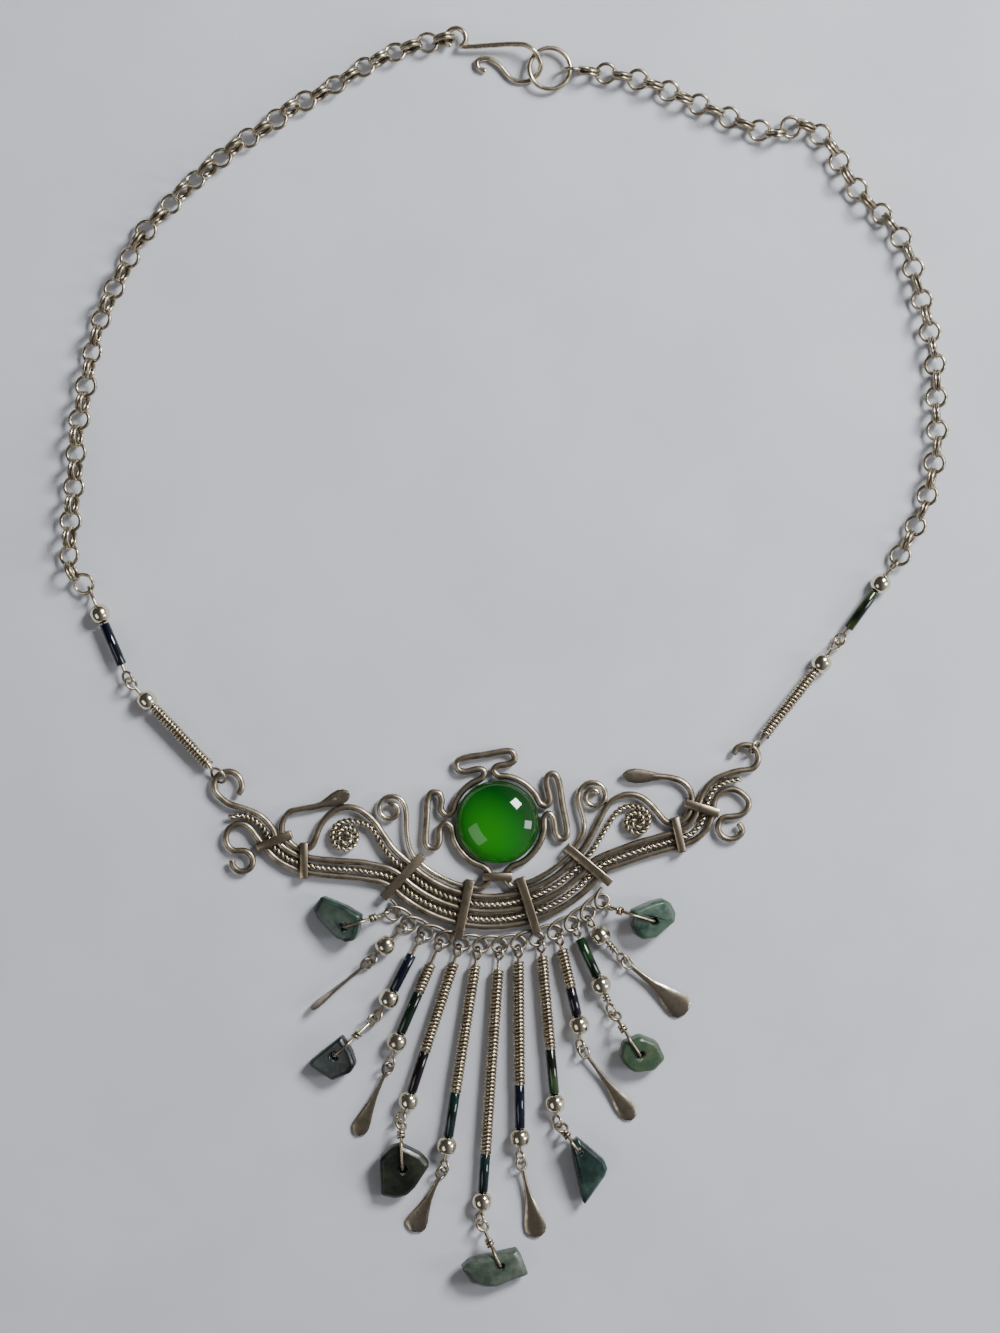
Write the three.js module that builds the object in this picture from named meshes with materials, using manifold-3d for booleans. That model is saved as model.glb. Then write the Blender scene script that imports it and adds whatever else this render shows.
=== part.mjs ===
// A wire bib necklace lying open on a flat surface, seen from above with the clasp away from the
// viewer. Millimetres, +X to the right, +Y towards the clasp, +Z up, the surface at z = 0.
import * as THREE from 'three';
import { ConvexGeometry } from 'three/addons/geometries/ConvexGeometry.js';
import { mergeVertices } from 'three/addons/utils/BufferGeometryUtils.js';
import Module from 'manifold-3d';

const wasm = await Module();
wasm.setup();

// Driving dimensions
const WIRE_HEIGHT = 1.25; // middle of every bib wire above the surface
const WIRE_RADIUS = 0.6;
const TWIST_RADIUS = 0.54;
const CURL_RADIUS = 0.5;
const BAND_CENTRE = [-2.4, -23.7]; // centre of the bib's curved band
const RAIL_RADIUS = 26.9; // the band's five wires and the inner curls, measured from that centre
const OUTER_TWIST_RADIUS = 25.5;
const EYE_WIRE_RADIUS = 24.1;
const INNER_TWIST_RADIUS = 22.7;
const ARCH_RADIUS = 21.3;
const CURL_BAND_RADIUS = 19.9;
const FOOT_RADIUS = 19.8;
const STRAP_WALL = 0.4;
const STRAP_WIDTH = 1.7;
const STRAP_HEIGHT = 2.5;
const STRAP_CLEARANCE = 0.3;
const CABOCHON_RADIUS = 7.85;
const CABOCHON_HEIGHT = 5.5;
const CABOCHON_CENTRE = [-1.0, -31.0];
const FRAME_RING_RADIUS = 8.8;
const BEAD_RADIUS = 1.83;
const COIL_RADIUS = 1.1;
const BUGLE_RADIUS = 0.95;
const STEM_RADIUS = 0.35;
const EYE_RADIUS = 1.2; // centre line of a stem's or a bar's round eye
const EYE_WIRE = 0.3;
const LINK_RADIUS = 1.83; // centre line of a chain ring
const LINK_WIRE = 0.4;
const CLASP_RING_RADIUS = 3.85;
const CLASP_WIRE = 0.45;
const HOOK_WIRE = 0.5;

const EYE_REACH = 1.25; // between the centres of two linked eyes
const HANG_HEIGHT = 1.35; // of the stems' upper eyes above the surface
const FOOT_HEIGHT = 1.4; // of the stems' lower eyes
const HANG_RADIUS = 31.95; // of the stems' upper eyes, from the band's centre
const UPPER_ROLL = 55; // degrees each eye leans about its stem, from lying flat
const LOWER_ROLL = 50;
const HANGER_WIRE = 0.32;

const radians = (degrees) => (degrees * Math.PI) / 180;

// Colours
const TARNISHED = { color: 0x9a8f7c, roughness: 0.38, metalness: 1.0 };
const BRIGHT = { color: 0xd2cabb, roughness: 0.26, metalness: 1.0 };
const STRAP_METAL = { color: 0xa89c88, roughness: 0.34, metalness: 1.0 };
const CHAIN_METAL = { color: 0xc3bbab, roughness: 0.28, metalness: 1.0 };

const necklace = new THREE.Group();
necklace.name = 'bib_necklace';

function add(name, geometry, surface) {
  const mesh = new THREE.Mesh(geometry, new THREE.MeshStandardMaterial(surface));
  mesh.name = name;
  necklace.add(mesh);
  return mesh;
}

// Solid helpers
function solidOf(geometry) {
  const plain = geometry.clone();
  plain.deleteAttribute('normal');
  plain.deleteAttribute('uv');
  const merged = mergeVertices(plain, 1e-3);
  return new wasm.Manifold(
    new wasm.Mesh({
      numProp: 3,
      vertProperties: new Float32Array(merged.attributes.position.array),
      triVerts: new Uint32Array(merged.index.array),
    }),
  );
}

function geometryOf(solid) {
  const mesh = solid.getMesh();
  const geometry = new THREE.BufferGeometry();
  geometry.setAttribute('position', new THREE.BufferAttribute(mesh.vertProperties, 3));
  geometry.setIndex(new THREE.BufferAttribute(mesh.triVerts, 1));
  geometry.computeVertexNormals();
  return geometry;
}

function unite(geometries) {
  return geometryOf(geometries.map(solidOf).reduce((whole, next) => whole.add(next)));
}

// A bent wire passes its stations evenly by count, so tight bends keep the stations given them.
class WireCurve extends THREE.CatmullRomCurve3 {
  getUtoTmapping(u) {
    return u;
  }
}

function polygon(radius, sides, turn = 0) {
  const corners = [];
  for (let i = 0; i < sides; i += 1) {
    const angle = turn + (2 * Math.PI * i) / sides;
    corners.push(new THREE.Vector2(radius * Math.cos(angle), radius * Math.sin(angle)));
  }
  return new THREE.Shape(corners);
}

// Points are [x, y] at the wires' own height, or [x, y, z].
function toVector(point) {
  return new THREE.Vector3(point[0], point[1], point[2] ?? WIRE_HEIGHT);
}

function tube(points, radius, { sides = 5, perPoint = 1 } = {}) {
  const curve = new WireCurve(points.map(toVector), false, 'centripetal');
  return new THREE.ExtrudeGeometry(polygon(radius, sides), {
    steps: (points.length - 1) * perPoint,
    extrudePath: curve,
    bevelEnabled: false,
  });
}

// Points along an arc, from one heading to another in degrees, both ends included.
function arc(centre, radius, from, to, count) {
  const points = [];
  for (let i = 0; i < count; i += 1) {
    const angle = radians(from + ((to - from) * i) / (count - 1));
    points.push([centre[0] + radius * Math.cos(angle), centre[1] + radius * Math.sin(angle)]);
  }
  return points;
}

// As an arc, but the radius runs from one value to another.
function spiral(centre, radii, from, to, count) {
  const points = [];
  for (let i = 0; i < count; i += 1) {
    const along = i / (count - 1);
    const angle = radians(from + (to - from) * along);
    const radius = radii[0] + (radii[1] - radii[0]) * along;
    points.push([centre[0] + radius * Math.cos(angle), centre[1] + radius * Math.sin(angle)]);
  }
  return points;
}

// The band: degrees are counted from straight down, rising towards +X.
function bandPoint(radius, degrees, z = WIRE_HEIGHT) {
  const angle = radians(degrees);
  return [
    BAND_CENTRE[0] + radius * Math.sin(angle),
    BAND_CENTRE[1] - radius * Math.cos(angle),
    z,
  ];
}

function band(radius, from, to, step = 6) {
  const count = Math.max(2, Math.round(Math.abs(to - from) / step) + 1);
  const points = [];
  for (let i = 0; i < count; i += 1) {
    points.push(bandPoint(radius, from + ((to - from) * i) / (count - 1)));
  }
  return points;
}

// Bib wires, each listed from its left end to its right end
const railPoints = [
  ...arc([-48.9, -38.3], 1.95, 175, 435, 9),
  ...arc([-49.35, -33.95], 2.65, 240, 40, 7),
  [-46.3, -33.6],
  [-45.0, -35.3],
  [-42.9, -37.6],
  [-41.0, -38.9],
  [-38.9, -39.9],
  [-37.3, -40.3],
  [-35.9, -40.6],
  [-32.5, -41.0],
  [-28.8, -41.3],
  [-25.0, -41.8],
  [-23.2, -42.1],
  ...band(RAIL_RADIUS, -44, 52),
  [20.1, -39.6],
  [22.2, -38.9],
  [25.8, -37.6],
  [29.5, -36.5],
  [33.35, -35.4],
  [36.3, -34.1],
  [38.4, -32.0],
  [39.35, -29.0],
  [39.7, -27.0],
  [40.6, -25.7],
  [42.1, -24.9],
  [43.6, -24.9],
  [45.1, -25.8],
  [46.1, -27.1],
  [45.9, -28.4],
  [44.9, -29.5],
  [43.2, -29.9],
  [41.5, -30.1],
  [40.6, -31.0],
  [40.4, -32.3],
  [41.2, -33.7],
  [42.7, -34.2],
  [44.2, -33.7],
  [44.9, -32.5],
  [44.2, -31.2],
];

const outerTwistPoints = [
  [-51.3, -30.1],
  [-49.4, -29.7],
  [-47.6, -30.1],
  [-45.5, -31.6],
  [-44.3, -33.2],
  [-43.7, -34.8],
  [-42.0, -36.6],
  [-40.0, -38.0],
  [-37.3, -38.9],
  [-33.5, -39.6],
  [-29.7, -39.8],
  [-26.9, -40.0],
  [-24.1, -40.5],
  [-22.2, -40.9],
  ...band(OUTER_TWIST_RADIUS, -45, 51),
  [19.2, -38.6],
  [21.7, -37.6],
  [25.3, -36.3],
  [29.0, -35.2],
  [33.05, -34.05],
  [35.5, -33.0],
  [37.2, -31.1],
  [38.0, -28.6],
  [38.5, -26.7],
  [39.3, -25.2],
  [40.4, -24.2],
  [42.1, -23.4],
  [44.6, -22.9],
];

const eyeWirePoints = [
  ...arc([-51.6, -24.1], 2.6, -42, 232, 10),
  [-51.5, -27.5],
  [-49.4, -28.2],
  [-47.6, -28.8],
  [-45.7, -29.7],
  [-44.2, -31.0],
  [-43.1, -32.5],
  [-42.4, -34.3],
  [-41.3, -35.6],
  [-39.7, -36.65],
  [-38.5, -37.25],
  [-37.3, -37.5],
  [-34.0, -38.0],
  [-30.6, -38.3],
  [-26.9, -38.5],
  [-24.1, -39.0],
  [-21.6, -39.6],
  ...band(EYE_WIRE_RADIUS, -45, 52),
  [18.5, -37.4],
  [21.2, -36.3],
  [24.8, -35.0],
  [28.6, -33.9],
  [32.75, -32.7],
  [34.7, -31.7],
  [36.0, -30.1],
  [36.65, -28.1],
  [37.3, -26.1],
  [38.4, -24.3],
  [39.9, -22.9],
  [41.7, -22.1],
  [44.2, -21.4],
  ...arc([45.5, -18.9], 2.4, -62, 165, 8),
];

const archPoints = [
  [-31.2, -26.6],
  [-35.0, -28.0],
  [-38.2, -28.6],
  [-40.0, -29.1],
  [-41.2, -30.6],
  [-41.5, -32.2],
  [-41.1, -33.8],
  [-39.9, -34.9],
  [-38.7, -35.8],
  [-37.3, -36.1],
  [-35.9, -35.5],
  [-35.2, -34.0],
  [-34.5, -32.1],
  [-33.3, -30.3],
  [-31.8, -29.0],
  [-30.1, -28.3],
  [-28.6, -28.2],
  [-26.9, -28.7],
  [-25.4, -29.7],
  [-23.9, -31.2],
  [-22.2, -33.7],
  [-20.7, -35.8],
  [-19.1, -37.4],
  ...band(ARCH_RADIUS, -45, 48),
  [15.2, -35.9],
  [16.7, -33.4],
  [17.9, -31.0],
  [19.0, -28.8],
  [20.3, -27.1],
  [22.0, -26.1],
  [24.1, -25.8],
  [25.9, -26.3],
  [27.6, -27.6],
  [29.1, -29.3],
  [30.6, -30.9],
  [32.46, -31.3],
  [33.9, -30.6],
  [34.9, -29.3],
  [35.3, -27.7],
  [35.4, -26.1],
  [34.8, -24.5],
  [33.4, -23.3],
  [31.6, -22.7],
  [27.5, -22.3],
];

const innerTwistPoints = [
  ...spiral([-29.5, -33.7], [0.55, 2.9], 826, 90, 21),
  [-27.6, -30.9],
  [-25.8, -31.4],
  [-24.4, -32.5],
  [-23.5, -34.0],
  [-22.4, -35.9],
  [-21.0, -37.6],
  [-19.8, -38.7],
  ...band(INNER_TWIST_RADIUS, -45, 50),
  [16.5, -36.7],
  [17.7, -34.9],
  [18.8, -33.0],
  [20.0, -31.0],
  [21.3, -29.2],
  [22.8, -28.2],
  ...spiral([24.9, -30.8], [2.75, 0.55], 90, -600, 20),
];

const curlLeftPoints = [
  ...band(CURL_BAND_RADIUS, -13.5, -45),
  [-17.3, -36.4],
  [-17.8, -34.8],
  [-18.1, -32.5],
  ...spiral([-21.1, -28.6], [2.85, 0.9], 0, 480, 15),
];

const curlRightPoints = [
  ...band(CURL_BAND_RADIUS, 19.5, 48),
  [13.8, -35.2],
  [14.8, -33.6],
  [15.2, -32.0],
  [15.0, -30.2],
  [14.5, -28.4],
  ...spiral([17.0, -26.1], [2.9, 0.9], 180, -330, 16),
];

// A flat hammered blade lying level: along its axis, half width rises to its full value and falls
// again; both ends are narrow.
function blade(root, tip, halfWidth, thickness, z, shares) {
  const length = Math.hypot(tip[0] - root[0], tip[1] - root[1]);
  const shape = new THREE.Shape();
  const edge = shares.map(([along, share]) => [along * length, share * halfWidth]);
  shape.moveTo(edge[0][0], edge[0][1]);
  edge.slice(1).forEach(([x, y]) => shape.lineTo(x, y));
  [...edge].reverse().forEach(([x, y]) => shape.lineTo(x, -y));
  shape.closePath();
  const geometry = new THREE.ExtrudeGeometry(shape, { depth: thickness, bevelEnabled: false });
  geometry.rotateZ(Math.atan2(tip[1] - root[1], tip[0] - root[0]));
  geometry.translate(root[0], root[1], z - thickness / 2);
  return geometry;
}

// [share of the length, share of the half width]
const PADDLE_OUTLINE = [
  [0, 0.2],
  [0.2, 0.22],
  [0.4, 0.34],
  [0.6, 0.62],
  [0.78, 0.93],
  [0.88, 1],
  [0.96, 0.82],
  [1, 0.4],
];
const LEAF_OUTLINE = [
  [0, 0.35],
  [0.25, 0.6],
  [0.5, 0.9],
  [0.7, 1],
  [0.88, 0.8],
  [1, 0.3],
];

add('outer_rail_wire', tube(railPoints, WIRE_RADIUS), TARNISHED);
add('outer_twist_wire', tube(outerTwistPoints, TWIST_RADIUS), BRIGHT);
add('eye_wire', tube(eyeWirePoints, WIRE_RADIUS), TARNISHED);
add('inner_twist_wire', tube(innerTwistPoints, TWIST_RADIUS), BRIGHT);
add(
  'arch_wire',
  unite([
    tube(archPoints, WIRE_RADIUS),
    blade([-34.5, -27.9], [-28.8, -25.6], 1.45, 0.8, WIRE_HEIGHT, LEAF_OUTLINE),
    blade([30.4, -22.55], [22.4, -22.2], 1.4, 0.8, WIRE_HEIGHT, LEAF_OUTLINE),
  ]),
  TARNISHED,
);
add('curl_wire_left', tube(curlLeftPoints, CURL_RADIUS), BRIGHT);
add('curl_wire_right', tube(curlRightPoints, CURL_RADIUS), BRIGHT);

// Straps: strips folded round the wires that lie side by side, closed on all four sides.
function boxAt(length, width, low, high, centre, heading) {
  const geometry = new THREE.BoxGeometry(length, width, high - low);
  geometry.rotateZ(heading);
  geometry.translate(centre[0], centre[1], (low + high) / 2);
  return geometry;
}

function strap(from, to, width) {
  const margin = WIRE_RADIUS + STRAP_CLEARANCE;
  const inner = Math.hypot(to[0] - from[0], to[1] - from[1]) + 2 * margin;
  const centre = [(from[0] + to[0]) / 2, (from[1] + to[1]) / 2];
  const heading = Math.atan2(to[1] - from[1], to[0] - from[0]);
  const outside = boxAt(inner + 2 * STRAP_WALL, width, 0, STRAP_HEIGHT, centre, heading);
  const hole = boxAt(inner, width + 2, STRAP_WALL, STRAP_HEIGHT - STRAP_WALL, centre, heading);
  return solidOf(outside).subtract(solidOf(hole));
}

// A strap across the band runs from the inner curls to the rail and its top end is left long.
function bandStrap(degrees, tongueEnd) {
  const body = strap(bandPoint(FOOT_RADIUS, degrees), bandPoint(RAIL_RADIUS, degrees), STRAP_WIDTH);
  const tongueStart = RAIL_RADIUS;
  const middle = bandPoint((tongueStart + tongueEnd) / 2, degrees);
  const tongue = boxAt(
    tongueEnd - tongueStart,
    STRAP_WIDTH,
    STRAP_HEIGHT - STRAP_WALL,
    STRAP_HEIGHT,
    middle,
    radians(degrees - 90),
  );
  return geometryOf(body.add(solidOf(tongue)));
}

add('strap_a', geometryOf(strap([-45.0, -35.3], [-40.8, -33.68], 1.6)), STRAP_METAL);
add('strap_b', geometryOf(strap([-37.3, -40.3], [-37.3, -36.1], 1.5)), STRAP_METAL);
add('strap_c', bandStrap(-43.1, 29.4), STRAP_METAL);
add('strap_d', bandStrap(-11.7, 29.8), STRAP_METAL);
add('strap_e', bandStrap(17.5, 29.4), STRAP_METAL);
add('strap_f', bandStrap(50.3, 29.4), STRAP_METAL);
add('strap_g', geometryOf(strap([33.35, -35.4], [32.46, -31.3], 1.5)), STRAP_METAL);
add('strap_h', geometryOf(strap([39.35, -29.0], [35.3, -27.7], 1.6)), STRAP_METAL);

// The stone's frame: one wire that runs clockwise round the stone and leaves it three times to
// draw a T-shaped finger, then ends in two feet on the bib's band.
// heading: degrees from +X; back and front: reach of the head to either side of the neck;
// inner and outer: the head's two sides, from the stone's centre; neck: half the gap in the neck.
const FINGERS = [
  { heading: 176.6, back: 5.6, front: 4.9, inner: 10.75, outer: 13.3, neck: 0.78, lean: 0 },
  { heading: 99.7, back: 5.8, front: 5.2, inner: 10.4, outer: 12.9, neck: 0.9, lean: 0 },
  { heading: 14, back: 6.4, front: 6.0, inner: 10.4, outer: 12.6, neck: 0.78, lean: -4 },
];

function finger({ heading, back, front, inner, outer, neck, lean }) {
  const middle = (inner + outer) / 2;
  const outline = [
    [-neck, 9.75],
    [-1.7, inner],
    [-(back - 1.3), inner],
    [-back + 0.25, inner + 0.45],
    [-back, middle],
    [-back + 0.25, outer - 0.45],
    [-(back - 1.3), outer],
    [0, outer],
    [front - 1.3, outer],
    [front - 0.25, outer - 0.45],
    [front, middle],
    [front - 0.25, inner + 0.45],
    [front - 1.3, inner],
    [1.7, inner],
    [neck, 9.75],
  ];
  return outline.map(([along, reach]) => {
    const out = radians(heading);
    const side = radians(heading + lean);
    return [
      CABOCHON_CENTRE[0] + reach * Math.cos(out) + along * Math.sin(side),
      CABOCHON_CENTRE[1] + reach * Math.sin(out) - along * Math.cos(side),
    ];
  });
}

function ringPart(from, to) {
  const count = Math.max(3, Math.round(Math.abs(to - from) / 14) + 1);
  return arc(CABOCHON_CENTRE, FRAME_RING_RADIUS, from, to, count);
}

const NECK_SHARE = 9; // degrees of ring left out on each side of a finger's neck
const [leftFinger, topFinger, rightFinger] = FINGERS;
const stoneFramePoints = [
  bandPoint(FOOT_RADIUS, -10.7),
  bandPoint(FOOT_RADIUS, -6),
  [-2.9, -42.3],
  [-2.55, -41.4],
  [-2.6, -40.5],
  ...ringPart(253, leftFinger.heading + NECK_SHARE),
  ...finger(leftFinger),
  ...ringPart(leftFinger.heading - NECK_SHARE, topFinger.heading + NECK_SHARE + 1),
  ...finger(topFinger),
  ...ringPart(topFinger.heading - NECK_SHARE - 1, rightFinger.heading + NECK_SHARE),
  ...finger(rightFinger),
  ...ringPart(rightFinger.heading - NECK_SHARE, -73),
  [0.6, -40.5],
  [0.55, -41.4],
  [0.9, -42.3],
  bandPoint(FOOT_RADIUS, 12),
  bandPoint(FOOT_RADIUS, 16.6),
];
add('stone_frame_wire', tube(stoneFramePoints, WIRE_RADIUS), TARNISHED);
add('neck_collar', geometryOf(strap([-2.55, -41.2], [0.55, -41.2], 1.5)), STRAP_METAL);

// Domed glass stone with a flat back, held by the ring round its edge.
function cabochon() {
  const low = 0.5;
  const girdle = 1.3;
  const profile = [new THREE.Vector2(0, low), new THREE.Vector2(CABOCHON_RADIUS - 0.3, low)];
  profile.push(new THREE.Vector2(CABOCHON_RADIUS, girdle));
  const steps = 7;
  for (let i = 1; i < steps; i += 1) {
    const angle = (Math.PI / 2) * (i / steps);
    profile.push(
      new THREE.Vector2(
        CABOCHON_RADIUS * Math.cos(angle),
        girdle + (CABOCHON_HEIGHT - girdle) * Math.sin(angle),
      ),
    );
  }
  profile.push(new THREE.Vector2(0, CABOCHON_HEIGHT));
  const geometry = new THREE.LatheGeometry(profile, 26);
  geometry.rotateX(Math.PI / 2);
  geometry.translate(CABOCHON_CENTRE[0], CABOCHON_CENTRE[1], 0);
  return geometry;
}
add('glass_cabochon', cabochon(), { color: 0x1f9a3c, roughness: 0.08, metalness: 0.0 });

// The thin wire under the rail: a row of loops, each crossing over itself once.
const HANGER_PITCH = 6.7; // degrees of the band from loop to loop
const FIRST_LOOP = -36.9;
const LOOPS = 13;
const loopHeading = (index) => FIRST_LOOP + HANGER_PITCH * index;

function hangerPoints() {
  const perLoop = 10;
  const points = [];
  const outward = 1.5;
  const sideways = 2.15;
  for (let i = -perLoop / 2; i <= (LOOPS - 1) * perLoop + perLoop / 2; i += 1) {
    const turn = i / perLoop;
    const angle = 2 * Math.PI * turn;
    const degreesPerMillimetre = 180 / (Math.PI * 30.2);
    const shift = -sideways * Math.sin(angle) * degreesPerMillimetre;
    points.push(
      bandPoint(
        30.2 + outward * Math.cos(angle),
        FIRST_LOOP + HANGER_PITCH * turn + shift,
        1.05 + 0.5 * Math.sin(angle),
      ),
    );
  }
  return points;
}
add('fringe_hanger_wire', tube(hangerPoints(), HANGER_WIRE, { sides: 4 }), TARNISHED);

// Pieces turned about their own axis are made along +X and then laid from one point to another.
function placement(from, to) {
  const start = toVector(from);
  const along = toVector(to).sub(start).normalize();
  const side = new THREE.Vector3(0, 0, 1).cross(along).normalize();
  const up = new THREE.Vector3().crossVectors(along, side);
  return new THREE.Matrix4().makeBasis(along, side, up).setPosition(start);
}

// Profile rows are [distance along the axis, radius].
function turned(profile, sides = 7) {
  const outline = profile.map(([distance, radius]) => new THREE.Vector2(radius, distance));
  return new THREE.LatheGeometry(outline, sides).rotateZ(-Math.PI / 2);
}

// A round eye centred at a distance along +X; roll turns it about the axis, 90 standing it up.
function eyeRing(distance, roll, radius = EYE_RADIUS) {
  const ring = new THREE.TorusGeometry(radius, EYE_WIRE, 4, 8);
  return ring.rotateX(radians(roll)).translate(distance, 0, 0);
}

function beadRows(centre) {
  const shares = [-0.97, -0.7, -0.25, 0.25, 0.7, 0.97];
  return shares.map((share) => [
    centre + BEAD_RADIUS * share,
    BEAD_RADIUS * Math.sqrt(1 - share * share) * 1.02,
  ]);
}

// One wire carrying, in order, a wound coil, a glass bugle and a round bead.
function stem(hang, bead, foot, coil, bugle) {
  const beadAt = Math.hypot(bead[0] - hang[0], bead[1] - hang[1]);
  const bugleEnd = beadAt - BEAD_RADIUS;
  const bugleStart = bugleEnd - bugle;
  const coilStart = Math.max(bugleStart - coil, EYE_RADIUS);
  const profile = [
    [EYE_RADIUS - 0.1, 0],
    [EYE_RADIUS - 0.1, STEM_RADIUS],
  ];
  if (coil > 0) {
    profile.push([coilStart, STEM_RADIUS], [coilStart, COIL_RADIUS], [bugleStart, COIL_RADIUS]);
  }
  if (bugle > 0) {
    if (coil === 0) profile.push([bugleStart, STEM_RADIUS]);
    profile.push([bugleStart, BUGLE_RADIUS], [bugleEnd, BUGLE_RADIUS]);
  }
  profile.push(...beadRows(beadAt));
  profile.push([beadAt + BEAD_RADIUS, STEM_RADIUS], [beadAt + BEAD_RADIUS + 0.3, 0]);
  const upper = placement([...hang, HANG_HEIGHT], [...bead, BEAD_RADIUS]);
  const span = Math.hypot(foot[0] - bead[0], foot[1] - bead[1]);
  const tail = turned([
    [BEAD_RADIUS - 0.4, 0],
    [BEAD_RADIUS - 0.4, STEM_RADIUS],
    [span - EYE_RADIUS + 0.1, STEM_RADIUS],
    [span - EYE_RADIUS + 0.1, 0],
  ], 5);
  const lower = placement([...bead, BEAD_RADIUS], [...foot, FOOT_HEIGHT]);
  return unite([
    turned(profile).applyMatrix4(upper),
    eyeRing(0, UPPER_ROLL).applyMatrix4(upper),
    tail.applyMatrix4(lower),
    eyeRing(span, LOWER_ROLL).applyMatrix4(lower),
  ]);
}

// Columns: name, loop of the hanger, degrees of the band from that loop's middle, bead centre,
// lower eye, length of the wound coil, length of the glass bugle.
const STEMS = [
  ['stem_02', 1, -1.2, [-22.1, -54.1], [-24.6, -56.8], 0, 0],
  ['stem_03', 2, -0.8, [-21.4, -64.1], [-23.6, -67.3], 0, 7.5],
  ['stem_04', 3, -0.8, [-19.9, -72.2], [-21.1, -76.0], 6.0, 8.2],
  ['stem_05', 4, -0.9, [-17.7, -83.3], [-19.2, -86.4], 17.6, 7.9],
  ['stem_06', 5, -1.0, [-10.5, -91.7], [-11.0, -95.6], 24.2, 8.3],
  ['stem_07', 6, -0.3, [-3.9, -102.1], [-4.4, -105.5], 34.6, 7.1],
  ['stem_08', 7, -0.5, [3.2, -90.2], [3.2, -93.9], 23.2, 8.1],
  ['stem_09', 8, 0.6, [9.8, -83.7], [10.2, -87.2], 17.6, 8.3],
  ['stem_10', 9, 0.5, [14.3, -69.0], [14.5, -73.0], 7.4, 5.4],
  ['stem_11', 10, 0.1, [18.4, -61.5], [20.3, -66.2], 0, 7.7],
  ['stem_12', 11, -1.0, [18.3, -52.2], [22.4, -56.6], 0, 0],
].map(([name, loop, offset, bead, foot, coil, bugle]) => (
  { name, loop, offset, bead, foot, coil, bugle }
));
const STEM_METAL = { color: 0xbcb3a1, roughness: 0.3, metalness: 1.0 };
STEMS.forEach(({ name, loop, offset, bead, foot, coil, bugle }) => {
  const hang = bandPoint(HANG_RADIUS, loopHeading(loop) + offset).slice(0, 2);
  add(name, stem(hang, bead, foot, coil, bugle), STEM_METAL);
});

// Paddles: hammered wire ends that hang from a stem's lower eye.
const footOf = (name) => STEMS.find((entry) => entry.name === name).foot;

function step(from, heading, distance) {
  const angle = radians(heading);
  return [from[0] + distance * Math.sin(angle), from[1] - distance * Math.cos(angle)];
}

// heading: degrees from straight down, rising towards +X; roll 0 lies flat, 90 stands on edge.
const PADDLES = [
  { name: 'paddle_02', stem: 'stem_02', heading: -50.9, length: 13.4, width: 3.0, roll: 68 },
  { name: 'paddle_04', stem: 'stem_04', heading: -24.7, length: 14.0, width: 3.2, roll: 0 },
  { name: 'paddle_06', stem: 'stem_06', heading: -26.2, length: 12.4, width: 4.1, roll: 0 },
  { name: 'paddle_08', stem: 'stem_08', heading: 12.3, length: 14.2, width: 4.0, roll: 0 },
  { name: 'paddle_10', stem: 'stem_10', heading: 35.8, length: 15.8, width: 3.4, roll: 0 },
  { name: 'paddle_12', stem: 'stem_12', heading: 50, length: 14.6, width: 4.7, roll: 0 },
];
PADDLES.forEach(({ name, stem: holder, heading, length, width, roll }) => {
  const foot = footOf(holder);
  const centre = step(foot, heading, EYE_REACH);
  const tip = step(centre, heading, length);
  const tipHeight = 0.3 + (width / 2) * Math.sin(radians(roll));
  const leaf = blade([0.8, 0], [length, 0], width / 2, 0.6, 0, PADDLE_OUTLINE);
  const pose = placement([...centre, 1.45], [...tip, tipHeight]);
  const eye = eyeRing(0, LOWER_ROLL - 90);
  leaf.rotateX(radians(roll)).applyMatrix4(pose);
  add(name, unite([leaf, eye.applyMatrix4(pose)]), BRIGHT);
});

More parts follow.
